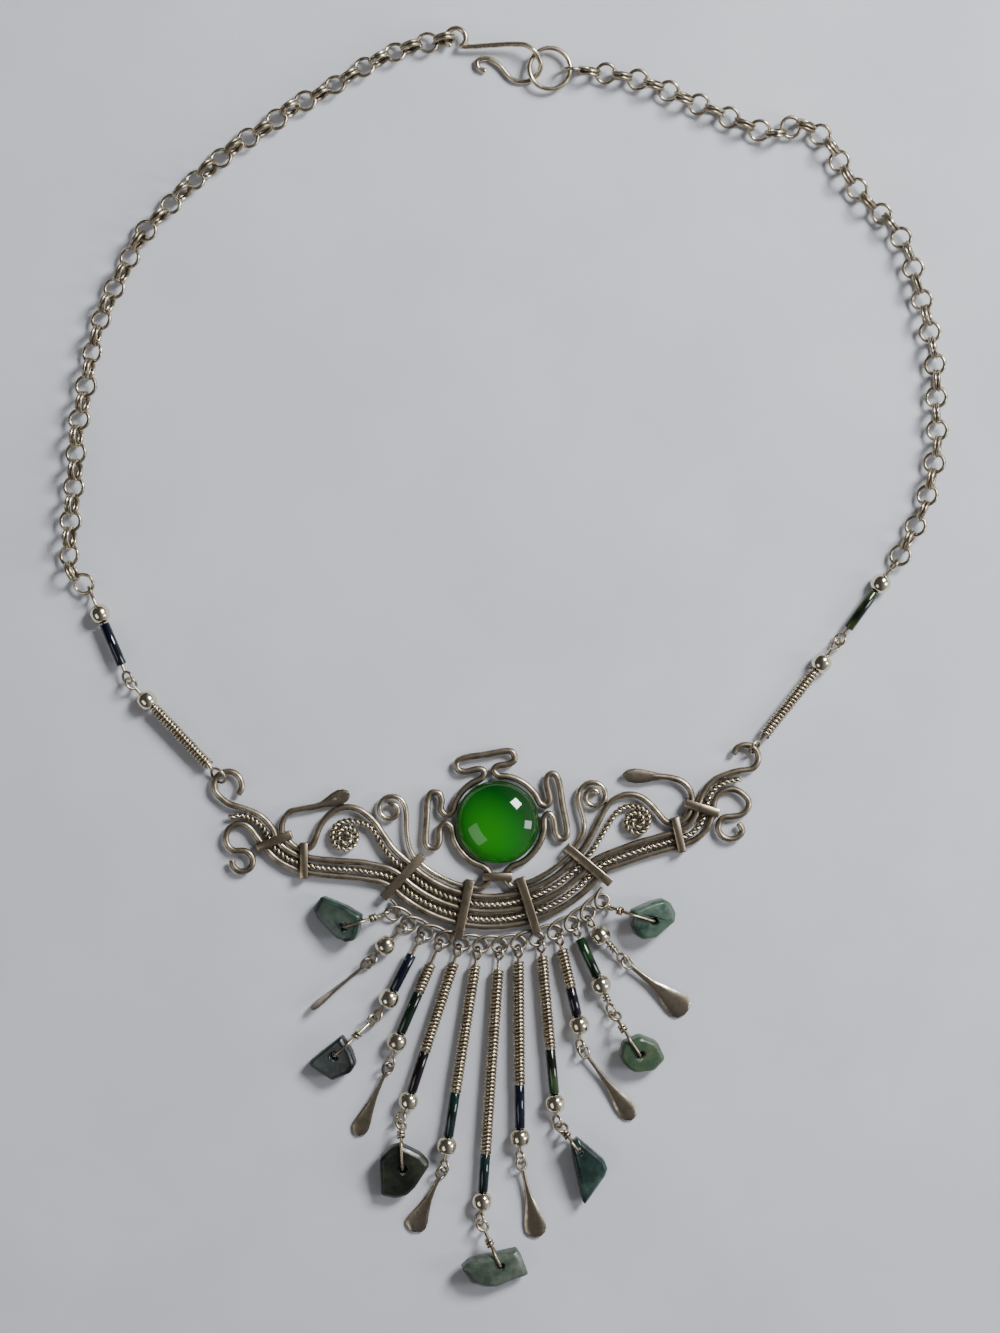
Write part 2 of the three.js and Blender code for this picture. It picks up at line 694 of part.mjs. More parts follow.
// Jade chips: each lies on its low edge, its drilled end lifted by the wire that passes under it.
const CHIP_THICKNESS = 3.2;
const UNDERPASS = 1.05; // room under a chip's hole for the wire that passes there
const HOLE_RADIUS = 0.75;
const BAIL_WIRE = 0.28;
const EYE_ROLLS = { '01': 78, 13: -62 }; // of the eyes that hang straight from the hanger
const CHIPS = [
  {
    number: '01',
    hole: [-29.0, -50.2],
    color: 0x1f4a33,
    outline: [[-33.5, -44.7], [-35.2, -47.2], [-34.4, -48.7], [-30.6, -52.5], [-28.8, -53.2],
      [-27.3, -52.8], [-26.5, -51.3], [-25.8, -48.1], [-28.8, -46.4]],
  },
  {
    number: '03',
    hole: [-31.0, -74.1],
    color: 0x12281f,
    outline: [[-29.7, -70.3], [-27.8, -73.3], [-27.1, -75.8], [-28.0, -77.3], [-31.6, -79.0],
      [-36.1, -76.1], [-35.9, -75.4]],
  },
  {
    number: '05',
    hole: [-18.8, -95.1],
    color: 0x23291c,
    outline: [[-20.7, -90.8], [-19.2, -90.4], [-15.2, -92.5], [-13.7, -94.4], [-16.5, -98.9],
      [-18.0, -100.4], [-20.1, -101.1], [-22.9, -100.4], [-22.7, -95.5], [-23.1, -93.1]],
  },
  {
    number: '07',
    hole: [-0.8, -113.0],
    color: 0x55705a,
    outline: [[-8.1, -113.4], [-6.6, -112.0], [-1.7, -111.1], [2.3, -110.2], [3.2, -111.5],
      [4.5, -115.1], [-1.5, -117.5], [-3.9, -117.3], [-6.2, -116.4]],
  },
  {
    number: '09',
    hole: [13.9, -92.0],
    color: 0x17352c,
    outline: [[12.4, -90.7], [13.7, -89.6], [18.8, -94.0], [19.4, -95.5], [19.0, -96.8],
      [17.7, -97.8], [15.2, -102.3], [14.7, -101.7], [13.0, -94.6]],
  },
  {
    number: '11',
    hole: [25.2, -73.7],
    color: 0x3f6e45,
    outline: [[22.0, -71.3], [25.2, -70.1], [28.6, -71.6], [30.1, -74.8], [28.0, -77.1],
      [24.3, -77.3], [22.6, -76.1], [21.4, -74.3]],
  },
  {
    number: '13',
    hole: [27.4, -49.1],
    color: 0x35664a,
    outline: [[23.3, -47.0], [27.3, -45.5], [29.5, -45.1], [30.8, -45.9], [31.8, -47.8],
      [31.6, -49.4], [28.0, -52.3], [25.4, -52.6], [24.1, -51.7], [23.3, -49.8]],
  },
];

// Where each bail's eye sits: on a hanger loop at the two ends, on a stem's lower eye between.
function bailEye(number, hole) {
  if (number === '01') return bandPoint(31.5, loopHeading(0) - 2.0, 1.5);
  if (number === '13') return bandPoint(31.85, loopHeading(12) + 0.2, 1.4);
  const foot = footOf(`stem_${number}`);
  const reach = Math.hypot(hole[0] - foot[0], hole[1] - foot[1]);
  const share = EYE_REACH / reach;
  return [foot[0] + (hole[0] - foot[0]) * share, foot[1] + (hole[1] - foot[1]) * share, 1.65];
}

// Distance from the hole to the chip's edge along +X, for an outline already turned that way.
function rimDistance(outline) {
  let reach = 0;
  outline.forEach(([x, y], index) => {
    const [nextX, nextY] = outline[(index + 1) % outline.length];
    if (y * nextY <= 0 && y !== nextY) {
      reach = Math.max(reach, x + ((nextX - x) * -y) / (nextY - y));
    }
  });
  return reach;
}

// Corners of a broken chip: full outline between the bevels, drawn in at the top and bottom.
function facetCorners(outline) {
  const bevel = 0.6;
  const middleX = outline.reduce((sum, [x]) => sum + x, 0) / outline.length;
  const middleY = outline.reduce((sum, [, y]) => sum + y, 0) / outline.length;
  const layers = [[0, 0.16], [bevel, 0], [CHIP_THICKNESS - bevel, 0], [CHIP_THICKNESS, 0.16]];
  return layers.flatMap(([height, draw]) =>
    outline.map(([x, y]) =>
      new THREE.Vector3(x + (middleX - x) * draw, y + (middleY - y) * draw, height)));
}

CHIPS.forEach(({ number, hole, color, outline }) => {
  const eye = bailEye(number, hole);
  const heading = Math.atan2(eye[1] - hole[1], eye[0] - hole[0]);
  const local = outline.map(([x, y]) => {
    const dx = x - hole[0];
    const dy = y - hole[1];
    return [
      dx * Math.cos(heading) + dy * Math.sin(heading),
      dy * Math.cos(heading) - dx * Math.sin(heading),
    ];
  });
  const lowReach = -Math.min(...local.map(([x]) => x));
  const tilt = Math.asin(UNDERPASS / (0.8 * lowReach));
  const stone = new ConvexGeometry(facetCorners(local));
  const drill = new THREE.CylinderGeometry(HOLE_RADIUS, HOLE_RADIUS, CHIP_THICKNESS + 2, 8);
  drill.rotateX(Math.PI / 2).translate(0, 0, CHIP_THICKNESS / 2);
  const chip = geometryOf(solidOf(stone).subtract(solidOf(drill))).rotateY(-tilt);
  chip.computeBoundingBox();
  const lift = -chip.boundingBox.min.z;
  const pose = new THREE.Matrix4()
    .makeRotationZ(heading)
    .setPosition(new THREE.Vector3(hole[0], hole[1], lift));
  add(`jade_chip_${number}`, chip.applyMatrix4(pose), { color, roughness: 0.35, metalness: 0.0 });

  // Bail: down through the hole, round the edge above and below, wound together beside the chip.
  const edge = rimDistance(local);
  const distance = Math.hypot(eye[0] - hole[0], eye[1] - hole[1]);
  const wrap = Math.min(edge + 1.7, distance - 1.9);
  const over = CHIP_THICKNESS + 0.55;
  const under = -0.55;
  const loop = [
    [wrap + 0.4, 1.2],
    [Math.min(edge + 0.6, wrap - 0.5), over - 0.4],
    [edge - 0.4, over],
    [0.5, over],
    [0, CHIP_THICKNESS - 0.2],
    [0, 0.2],
    [0.5, under],
    [edge - 0.4, under],
    [Math.min(edge + 0.7, wrap - 0.5), under + 0.3],
    [wrap + 0.4, 1.2],
  ].map(([along, height]) => {
    const x = along * Math.cos(tilt) - height * Math.sin(tilt);
    const z = along * Math.sin(tilt) + height * Math.cos(tilt) + lift;
    return [hole[0] + x * Math.cos(heading), hole[1] + x * Math.sin(heading), z];
  });
  const wrapStart = loop[0];
  const wrapEnd = eye;
  const winding = turned([[-0.6, 0], [-0.6, 0.85], [0.9, 0.85], [0.9, 0]], 6);
  const neckLength = toVector(wrapStart).distanceTo(toVector(wrapEnd));
  const neckEnd = neckLength - 1;
  const neck = turned([[0, 0], [0, STEM_RADIUS], [neckEnd, STEM_RADIUS], [neckEnd, 0]], 5);
  const wrapPose = placement(wrapStart, wrapEnd);
  const ring = eyeRing(neckLength, EYE_ROLLS[number] ?? 90 - LOWER_ROLL);
  add(
    `chip_bail_${number}`,
    unite([
      tube(loop, BAIL_WIRE, { sides: 4 }),
      winding.applyMatrix4(wrapPose),
      neck.applyMatrix4(wrapPose),
      ring.applyMatrix4(wrapPose),
    ]),
    STEM_METAL,
  );
});

// Side bars, from the chain's end down to the bib.
function bar(from, to, body, rolls, lastEye) {
  const pose = placement(from, to);
  const length = toVector(from).distanceTo(toVector(to));
  const profile = [
    [EYE_RADIUS - 0.1, 0],
    [EYE_RADIUS - 0.1, STEM_RADIUS],
    ...beadRows(body.bead),
    [body.start, body.radius],
    [body.end, body.radius],
    [body.end, STEM_RADIUS],
    [length - lastEye + 0.1, STEM_RADIUS],
    [length - lastEye + 0.1, 0],
  ];
  const pieces = [turned(profile), eyeRing(0, rolls[0]), eyeRing(length, rolls[1], lastEye)];
  return unite(pieces).applyMatrix4(pose);
}
const BUGLE_BODY = { bead: 4.4, start: 6.3, end: 14.8, radius: BUGLE_RADIUS };
const COIL_BODY = { bead: 4.3, start: 6.2, end: 21.9, radius: COIL_RADIUS };
const LEFT_COIL_BODY = { ...COIL_BODY, end: 21.4 };
// Columns: name, upper eye, lower eye, body, lean of the two eyes, size of the lower eye.
const BARS = [
  ['bugle_bar_left', [-77.3, 12.1, 1.7], [-70.4, -3.9, 1.83], BUGLE_BODY, [80, 40], EYE_RADIUS],
  ['bugle_bar_right', [73.4, 17.3, 1.7], [63.2, 3.3, 1.83], BUGLE_BODY, [80, 40], EYE_RADIUS],
  ['coil_bar_left', [-69.7, -5.0, 1.83], [-53.4, -22.25, 1.62], LEFT_COIL_BODY, [-50, 50], 1.65],
  ['coil_bar_right', [62.4, 2.25, 1.83], [47.2, -16.9, 1.66], COIL_BODY, [-50, -66], 1.5],
];
BARS.forEach(([name, from, to, body, rolls, lastEye]) => {
  add(name, bar(from, to, body, rolls, lastEye), STEM_METAL);
});

// Clasp: a hook bent from one wire, caught in a plain ring.
const hookPoints = [
  ...arc([-8.8, 116.0], 1.85, 238, -55, 9).map(([x, y]) => [x, y, 1.9]),
  [-6.6, 114.35, 1.9],
  [-2.0, 114.6, 2.2],
  [1.8, 114.7, 2.7],
  [4.3, 114.4, 3.15],
  [6.0, 113.2, 3.15],
  [7.1, 111.0, 2.1],
  [6.4, 109.2, 1.2],
  [4.5, 108.1, 0.6],
  [1.9, 108.4, 0.55],
  [-0.9, 111.3, 0.6],
  [-3.0, 112.4, 0.6],
  [-4.8, 111.9, 0.6],
  [-4.6, 110.6, 0.6],
  [-3.2, 110.0, 0.6],
];
add('clasp_hook', tube(hookPoints, HOOK_WIRE), BRIGHT);
const claspRing = new THREE.TorusGeometry(CLASP_RING_RADIUS, CLASP_WIRE, 6, 20);
claspRing.rotateY(radians(3)).translate(8.8, 110.3, 1.75);
add('clasp_ring', claspRing, BRIGHT);

// Chain: double rings stand on edge, each single ring between them lies nearly flat.
const LEFT_CHAIN = [
  [-78.6, 13.7], [-80.9, 16.2], [-81.2, 22.9], [-80.7, 29.3], [-80.1, 35.5], [-79.9, 41.9],
  [-78.6, 48.3], [-77.5, 54.5], [-76.0, 61.1], [-73.8, 67.1], [-70.9, 72.8], [-67.9, 78.6],
  [-63.5, 83.5], [-59.4, 87.8], [-54.2, 92.3], [-49.6, 96.1], [-44.6, 99.1], [-39.7, 102.8],
  [-33.8, 105.8], [-28.6, 109.0], [-23.3, 112.0], [-17.5, 114.3], [-11.0, 115.8],
];
const RIGHT_CHAIN = [
  [74.5, 19.1], [76.1, 22.2], [78.8, 27.8], [80.3, 33.7], [81.4, 40.0], [81.2, 45.7],
  [81.2, 52.3], [80.5, 58.5], [79.3, 64.1], [77.5, 70.3], [76.0, 76.0], [72.6, 81.4],
  [67.9, 85.9], [64.1, 91.0], [61.1, 96.3], [56.0, 99.8], [50.8, 98.1], [45.3, 99.8],
  [39.9, 102.3], [34.0, 104.7], [28.4, 107.2], [22.5, 108.9], [16.4, 109.7], [13.1, 110.1],
];
const DOUBLE_HEIGHT = 2.3;
const STANDING_SINGLE = 44; // the last ring on the right, which holds the clasp's ring
const SINGLE_HEIGHT = 1.8;

function doubleRing() {
  const near = LINK_RADIUS - 0.37;
  const far = LINK_RADIUS + 0.37;
  const corners = [[near, -0.6], [far, -0.6], [far, 0.6], [near, 0.6], [near, -0.6]];
  const section = corners.map(([radius, height]) => new THREE.Vector2(radius, height));
  return new THREE.LatheGeometry(section, 6).rotateX(Math.PI / 2);
}

// Where one length meets the next, the two rings are drawn together so that neither bears on
// the other.
const SLACK = 0.4;
function chainLength(points, count, firstLink, lastLink, isDouble) {
  const curve = new THREE.CatmullRomCurve3(points.map((point) => new THREE.Vector3(...point, 0)));
  curve.arcLengthDivisions = 800;
  const links = [];
  for (let i = firstLink; i <= lastLink; i += 1) {
    const first = i === firstLink && i > 0;
    const last = i === lastLink && i < count - 1;
    const slack = (first ? -SLACK : 0) + (last ? SLACK : 0);
    const u = i / (count - 1) + slack / curve.getLength();
    const centre = curve.getPointAt(u);
    const tangent = curve.getTangentAt(u);
    const double = isDouble(i);
    const stands = double || i === STANDING_SINGLE;
    const link = double
      ? doubleRing()
      : new THREE.TorusGeometry(LINK_RADIUS, LINK_WIRE, 3, 7);
    link.rotateX(radians(stands ? 78 : -16));
    link.rotateZ(Math.atan2(tangent.y, tangent.x));
    link.translate(centre.x, centre.y, stands ? DOUBLE_HEIGHT : SINGLE_HEIGHT);
    links.push(link);
  }
  return unite(links);
}
const LEFT_COUNT = 44;
const RIGHT_COUNT = 45;
const oddDouble = (index) => index % 2 === 1;
add('chain_left_lower', chainLength(LEFT_CHAIN, LEFT_COUNT, 0, 21, oddDouble), CHAIN_METAL);
add('chain_left_upper', chainLength(LEFT_CHAIN, LEFT_COUNT, 22, 43, oddDouble), CHAIN_METAL);
add('chain_right_lower', chainLength(RIGHT_CHAIN, RIGHT_COUNT, 0, 21, oddDouble), CHAIN_METAL);
add('chain_right_upper', chainLength(RIGHT_CHAIN, RIGHT_COUNT, 22, 44, oddDouble), CHAIN_METAL);

// The origin is the middle of the necklace, on the surface it lies on.
const bounds = new THREE.Box3().setFromObject(necklace);
const middle = bounds.getCenter(new THREE.Vector3());
necklace.children.forEach((mesh) => mesh.geometry.translate(-middle.x, -middle.y, -bounds.min.z));

export default necklace;
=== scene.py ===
# The looks of a wire bib necklace lying open. Tables and lengths are in millimetres, and Blender's
# own settings, such as a modifier's width or a lamp's place, are in metres.
import math
import random
from collections import namedtuple

import bpy
import numpy as np
from mathutils import Matrix, Vector


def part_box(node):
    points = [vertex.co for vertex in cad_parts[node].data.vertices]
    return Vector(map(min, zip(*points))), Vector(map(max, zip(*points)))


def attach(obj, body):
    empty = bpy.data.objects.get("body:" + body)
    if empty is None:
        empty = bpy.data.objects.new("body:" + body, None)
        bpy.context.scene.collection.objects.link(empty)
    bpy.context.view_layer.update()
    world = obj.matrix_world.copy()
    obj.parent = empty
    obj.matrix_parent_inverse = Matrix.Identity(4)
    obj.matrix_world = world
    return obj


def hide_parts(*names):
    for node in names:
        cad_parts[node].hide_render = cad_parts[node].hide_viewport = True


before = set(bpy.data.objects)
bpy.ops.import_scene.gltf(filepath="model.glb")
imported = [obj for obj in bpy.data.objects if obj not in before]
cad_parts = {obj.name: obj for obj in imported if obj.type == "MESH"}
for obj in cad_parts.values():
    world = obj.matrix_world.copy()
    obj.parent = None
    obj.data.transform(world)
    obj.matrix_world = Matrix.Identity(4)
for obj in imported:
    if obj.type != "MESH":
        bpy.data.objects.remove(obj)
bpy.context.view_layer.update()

random.seed(7)
RNG = np.random.default_rng(7)

WIRE_Z = 1.25  # height of the bib's wires
BAND_CENTRE = (-2.4, -23.7)  # of the arc that the bib's wires follow
STONE = (-1.0, -31.0)
BIB_WIRE = 0.6
FLATTENED = 0.92  # height of a bib wire over its width
STRAND = 0.56
TWIST_PITCH = 2.0
FIRST_LOOP = -36.9  # degrees of the hanger's first loop on the band, and between two loops
LOOP_STEP = 6.7
LOOPS = 13
HANGER_RADIUS = 30.2
HANG_RADIUS = 31.95  # of the stems' upper eyes from the band's centre
HANG_HEIGHT = 1.35
FOOT_HEIGHT = 1.4
UPPER_ROLL = 55  # degrees that an eye leans about its stem, from lying flat
LOWER_ROLL = 50
EYE_REACH = 1.25  # between the centres of two linked eyes
EYE_RADIUS = 1.15
THIN_WIRE = 0.27
PIN_RADIUS = 0.33
BEAD_RADIUS = 1.83
BEAD_POWER = 2.3  # 2 is a ball, and more is squarer
UNDERPASS = 1.05  # how far a chip's low side sits under its middle
BAIL_EYE_HEIGHT = 1.65
BAIL_OVER = 3.45  # the bail's wire over and under its chip
BAIL_UNDER = -0.55
LINK_RADIUS = 1.83
LINK_WIRE = 0.34
LINK_SLACK = 0.4
DOUBLE_HEIGHT = 2.25  # of the rings that stand in pairs, and of those that lie singly
SINGLE_HEIGHT = 1.8
STANDING_SINGLE = 44  # the one single ring that stands, beside the clasp's ring
CAMERA_HEIGHT = 0.62
HALF_VIEW = 0.1253  # half of what the camera sees from end to end
FLOOR_HEIGHT = -0.0001

low, high = (Vector(corner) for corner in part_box("glass_cabochon"))
SHIFT = np.array([(low.x + high.x) * 500 - STONE[0], (low.y + high.y) * 500 - STONE[1], 0.0])


# Lines -----------------------------------------------------------------------------------------
def arc(centre, radius, start, end, count):
    angles = np.radians(np.linspace(start, end, count))
    return [[centre[0] + radius * math.cos(a), centre[1] + radius * math.sin(a)] for a in angles]


def spiral(centre, radii, start, end, count):
    angles = np.radians(np.linspace(start, end, count))
    sizes = np.linspace(radii[0], radii[1], count)
    return [[centre[0] + r * math.cos(a), centre[1] + r * math.sin(a)] for a, r in zip(angles, sizes)]


def band_point(radius, degrees, z=WIRE_Z):
    a = math.radians(degrees)
    return [BAND_CENTRE[0] + radius * math.sin(a), BAND_CENTRE[1] - radius * math.cos(a), z]


def band(radius, start, end):
    count = max(2, round(abs(end - start) / 6) + 1)
    return [band_point(radius, d) for d in np.linspace(start, end, count)]


def points3(points):
    return np.array([list(p) if len(p) == 3 else [p[0], p[1], WIRE_Z] for p in points], float)


def smooth(points, per=8):
    """A centripetal curve through the points."""
    p = points3(points)
    p = np.vstack([2 * p[0] - p[1], p, 2 * p[-1] - p[-2]])
    out = []
    for i in range(1, len(p) - 2):
        q = p[i - 1 : i + 3]
        t = np.concatenate([[0], np.cumsum(np.sqrt(np.linalg.norm(np.diff(q, axis=0), axis=1)) + 1e-6)])
        for u in np.linspace(t[1], t[2], per, endpoint=False):
            a1 = (t[1] - u) / (t[1] - t[0]) * q[0] + (u - t[0]) / (t[1] - t[0]) * q[1]
            a2 = (t[2] - u) / (t[2] - t[1]) * q[1] + (u - t[1]) / (t[2] - t[1]) * q[2]
            a3 = (t[3] - u) / (t[3] - t[2]) * q[2] + (u - t[2]) / (t[3] - t[2]) * q[3]
            b1 = (t[2] - u) / (t[2] - t[0]) * a1 + (u - t[0]) / (t[2] - t[0]) * a2
            b2 = (t[3] - u) / (t[3] - t[1]) * a2 + (u - t[1]) / (t[3] - t[1]) * a3
            out.append((t[2] - u) / (t[2] - t[1]) * b1 + (u - t[1]) / (t[2] - t[1]) * b2)
    out.append(p[-2])
    return np.array(out)


def frames(line):
    """Tangent, side and up along a line, carried along without twisting."""
    tangent = np.gradient(line, axis=0)
    tangent /= np.linalg.norm(tangent, axis=1)[:, None] + 1e-12
    start = np.array([0, 0, 1.0]) if abs(tangent[0][2]) < 0.9 else np.array([1.0, 0, 0])
    up = start - tangent[0] * start.dot(tangent[0])
    ups = []
    for t in tangent:
        up = up - t * up.dot(t)
        up /= np.linalg.norm(up) + 1e-12
        ups.append(up)
    ups = np.array(ups)
    return tangent, np.cross(ups, tangent), ups


# Meshes are (vertices, faces, material index) lists that are joined before they become objects.
def sweep(line, radius, sides=10, mat=0, wide=1.0, high=1.0, closed=False):
    line = np.asarray(line, float)
    n = len(line)
    if closed:
        looped = np.vstack([line[-1:], line, line[:1]])
        _, side, up = frames(looped)
        side, up = side[1:-1], up[1:-1]
    else:
        _, side, up = frames(line)
    radius = np.broadcast_to(np.asarray(radius, float), (n,))
    angles = np.linspace(0, 2 * math.pi, sides, endpoint=False)
    ring = np.stack([np.cos(angles) * wide, np.sin(angles) * high], 1)
    verts = (
        line[:, None, :]
        + radius[:, None, None] * ring[None, :, :1] * side[:, None, :]
        + radius[:, None, None] * ring[None, :, 1:] * up[:, None, :]
    ).reshape(-1, 3)
    faces = []
    for i in range(n if closed else n - 1):
        j = (i + 1) % n
        for k in range(sides):
            m = (k + 1) % sides
            faces.append((i * sides + k, i * sides + m, j * sides + m, j * sides + k))
    if not closed:
        faces.append(tuple(range(sides - 1, -1, -1)))
        faces.append(tuple((n - 1) * sides + k for k in range(sides)))
    return verts, faces, mat


def wire(points, radius, per=8, sides=12, mat=0, wide=1.0, high=1.0):
    line = smooth(points, per)
    drift = 0.02 * RNG.standard_normal(len(line)).cumsum().clip(-2, 2) * 0.3
    size = np.full(len(line), radius) * (1 + drift)
    size[0] *= 0.8
    size[-1] *= 0.8
    return sweep(line, size, sides, mat, wide, high)


def twist(points, radius, pitch, per=12, mat=0):
    """Two strands wound round each other."""
    line = smooth(points, per)
    steps = np.concatenate([[0], np.cumsum(np.linalg.norm(np.diff(line, axis=0), axis=1))])
    count = int(steps[-1] / (pitch / 14))
    at = np.linspace(0, steps[-1], count)
    line = np.stack([np.interp(at, steps, line[:, k]) for k in range(3)], 1)
    _, side, up = frames(line)
    strands = []
    for phase in (0, math.pi):
        a = 2 * math.pi * at / pitch + phase
        offset = radius * 0.5 * (np.cos(a)[:, None] * side + np.sin(a)[:, None] * up)
        strands.append(sweep(line + offset, radius * 0.54, 8, mat))
    return strands


def turned(rows, sides=24, mat=0):
    """A body turned about +X from [distance, radius] rows."""
    angles = np.linspace(0, 2 * math.pi, sides, endpoint=False)
    verts = np.array([[d, r * math.cos(a), r * math.sin(a)] for d, r in rows for a in angles])
    faces = []
    for i in range(len(rows) - 1):
        for k in range(sides):
            m = (k + 1) % sides
            faces.append((i * sides + k, i * sides + m, (i + 1) * sides + m, (i + 1) * sides + k))
    faces.append(tuple(range(sides)))
    faces.append(tuple((len(rows) - 1) * sides + k for k in range(sides - 1, -1, -1)))
    return verts, [f[::-1] for f in faces], mat


def ring(radius, thick, around=28, sides=8, mat=0, wobble=0.0):
    a = np.linspace(0, 2 * math.pi, around, endpoint=False)
    r = radius * (1 + wobble * np.cos(2 * a + 1))
    return sweep(np.stack([r * np.cos(a), r * np.sin(a), 0 * a], 1), thick, sides, mat, closed=True)


def move(part, matrix):
    verts, faces, mat = part
    m = np.array(matrix)
    return verts @ m[:3, :3].T + m[:3, 3], faces, mat


def placement(start, end):
    start, end = (Vector(points3([p])[0]) for p in (start, end))
    along = (end - start).normalized()
    side = Vector((0, 0, 1)).cross(along).normalized()
    up = along.cross(side)
    m = Matrix((along, side, up)).transposed().to_4x4()
    m.translation = start
    return m


def pin(start, end):
    return sweep(np.array([[start, 0, 0], [end, 0, 0]]), PIN_RADIUS, 8)


def eye(distance, roll, radius=EYE_RADIUS, thick=THIN_WIRE):
    m = Matrix.Translation((distance, 0, 0)) @ Matrix.Rotation(math.radians(roll), 4, "X")
    return move(ring(radius, thick, 24, 8), m)


def build(name, parts, mats, nodes):
    """Joins parts into one piece that stands in for the named CAD nodes."""
    verts, faces, index = [], [], []
    base = 0
    for v, f, m in parts:
        verts.append(v)
        faces.extend(tuple(base + i for i in face) for face in f)
        index.extend([m] * len(f))
        base += len(v)
    mesh = bpy.data.meshes.new(name)
    mesh.from_pydata((np.vstack(verts) + SHIFT) / 1000, [], faces)
    for m in mats:
        mesh.materials.append(m)
    mesh.polygons.foreach_set("material_index", index)
    mesh.update()
    mesh.validate()
    obj = bpy.data.objects.new(name, mesh)
    bpy.context.scene.collection.objects.link(obj)
    mesh.shade_smooth()
    mesh.set_sharp_from_angle(angle=math.radians(48))
    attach(obj, "root")
    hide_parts(*nodes)
    return obj


# Surfaces --------------------------------------------------------------------------------------
def surface(name):
    mat = bpy.data.materials.new(name)
    mat.use_nodes = True
    tree = mat.node_tree
    shader = next(n for n in tree.nodes if n.type == "BSDF_PRINCIPLED")
    return mat, tree, shader


def noise(tree, scale, detail=4.0, rough=0.55, stretch=(1, 1, 1)):
    coords = tree.nodes.new("ShaderNodeTexCoord")
    mapping = tree.nodes.new("ShaderNodeMapping")
    mapping.inputs["Scale"].default_value = stretch
    tex = tree.nodes.new("ShaderNodeTexNoise")
    tex.inputs["Scale"].default_value = scale
    tex.inputs["Detail"].default_value = detail
    tex.inputs["Roughness"].default_value = rough
    tree.links.new(coords.outputs["Object"], mapping.inputs["Vector"])
    tree.links.new(mapping.outputs["Vector"], tex.inputs["Vector"])
    return tex.outputs["Fac"]


def ramp(tree, value, stops):
    node = tree.nodes.new("ShaderNodeValToRGB")
    node.color_ramp.elements[0].position = stops[0][0]
    node.color_ramp.elements[0].color = (*stops[0][1], 1)
    node.color_ramp.elements[1].position = stops[-1][0]
    node.color_ramp.elements[1].color = (*stops[-1][1], 1)
    for at, colour in stops[1:-1]:
        node.color_ramp.elements.new(at).color = (*colour, 1)
    tree.links.new(value, node.inputs["Fac"])
    return node.outputs["Color"]


def grey(v):
    return (v, v, v)


def bump(tree, shader, value, strength, distance=0.0001):
    node = tree.nodes.new("ShaderNodeBump")
    node.inputs["Strength"].default_value = strength
    node.inputs["Distance"].default_value = distance
    tree.links.new(value, node.inputs["Height"])
    tree.links.new(node.outputs["Normal"], shader.inputs["Normal"])


def metal(name, bright, dark, dirt=0.5, rough=(0.2, 0.42), hammered=0.12):
    """Alpaca: warm grey, brown tarnish in patches, painted brown shade in the recesses, fine scratches."""
    mat, tree, shader = surface(name)
    patches = noise(tree, 420, 5)
    mid = tuple((b + d) / 2 for b, d in zip(bright, dark))
    colour = ramp(tree, patches, [(dirt - 0.16, dark), (dirt, mid), (dirt + 0.12, bright)])
    # Painted shade: the colour is multiplied towards dark brown where other wire hems the surface in.
    hollow_shade = tree.nodes.new("ShaderNodeAmbientOcclusion")
    hollow_shade.inputs["Distance"].default_value = 0.0012
    hollow_shade.samples = 4
    shade = ramp(tree, hollow_shade.outputs["AO"], [(0.2, (0.13, 0.10, 0.07)), (0.8, grey(1.0))])
    mix = tree.nodes.new("ShaderNodeMix")
    mix.data_type = "RGBA"
    mix.blend_type = "MULTIPLY"
    mix.inputs["Factor"].default_value = 0.85
    tree.links.new(colour, mix.inputs[6])
    tree.links.new(shade, mix.inputs[7])
    tree.links.new(mix.outputs[2], shader.inputs["Base Color"])
    shader.inputs["Metallic"].default_value = 1.0
    polish = ramp(tree, patches, [(0.35, grey(rough[1])), (0.65, grey(rough[0]))])
    tree.links.new(polish, shader.inputs["Roughness"])
    bump(tree, shader, noise(tree, 1500, 3, stretch=(1, 1.6, 1)), hammered, 0.00003)
    return mat


def glass(name, deep, light, axis_scale=260, rough=0.08):
    mat, tree, shader = surface(name)
    tint = ramp(tree, noise(tree, axis_scale, 2), [(0.4, deep), (0.62, light)])
    tree.links.new(tint, shader.inputs["Base Color"])
    shader.inputs["Roughness"].default_value = rough
    shader.inputs["IOR"].default_value = 1.5
    shader.inputs["Coat Weight"].default_value = 0.2
    shader.inputs["Coat Roughness"].default_value = 0.04
    bump(tree, shader, noise(tree, 900, 2), 0.06)
    return mat


def jade(name, dark, mid, light, spread=0.5):
    mat, tree, shader = surface(name)
    patches = noise(tree, 230, 7, 0.6)
    stops = [(spread - 0.17, dark), (spread, mid), (spread + 0.17, light)]
    tree.links.new(ramp(tree, patches, stops), shader.inputs["Base Color"])
    polish = ramp(tree, noise(tree, 700), [(0.3, grey(0.2)), (0.7, grey(0.45))])
    tree.links.new(polish, shader.inputs["Roughness"])
    shader.inputs["Coat Weight"].default_value = 0.12
    shader.inputs["Coat Roughness"].default_value = 0.2
    bump(tree, shader, noise(tree, 420, 6), 0.5, 0.0002)
    return mat


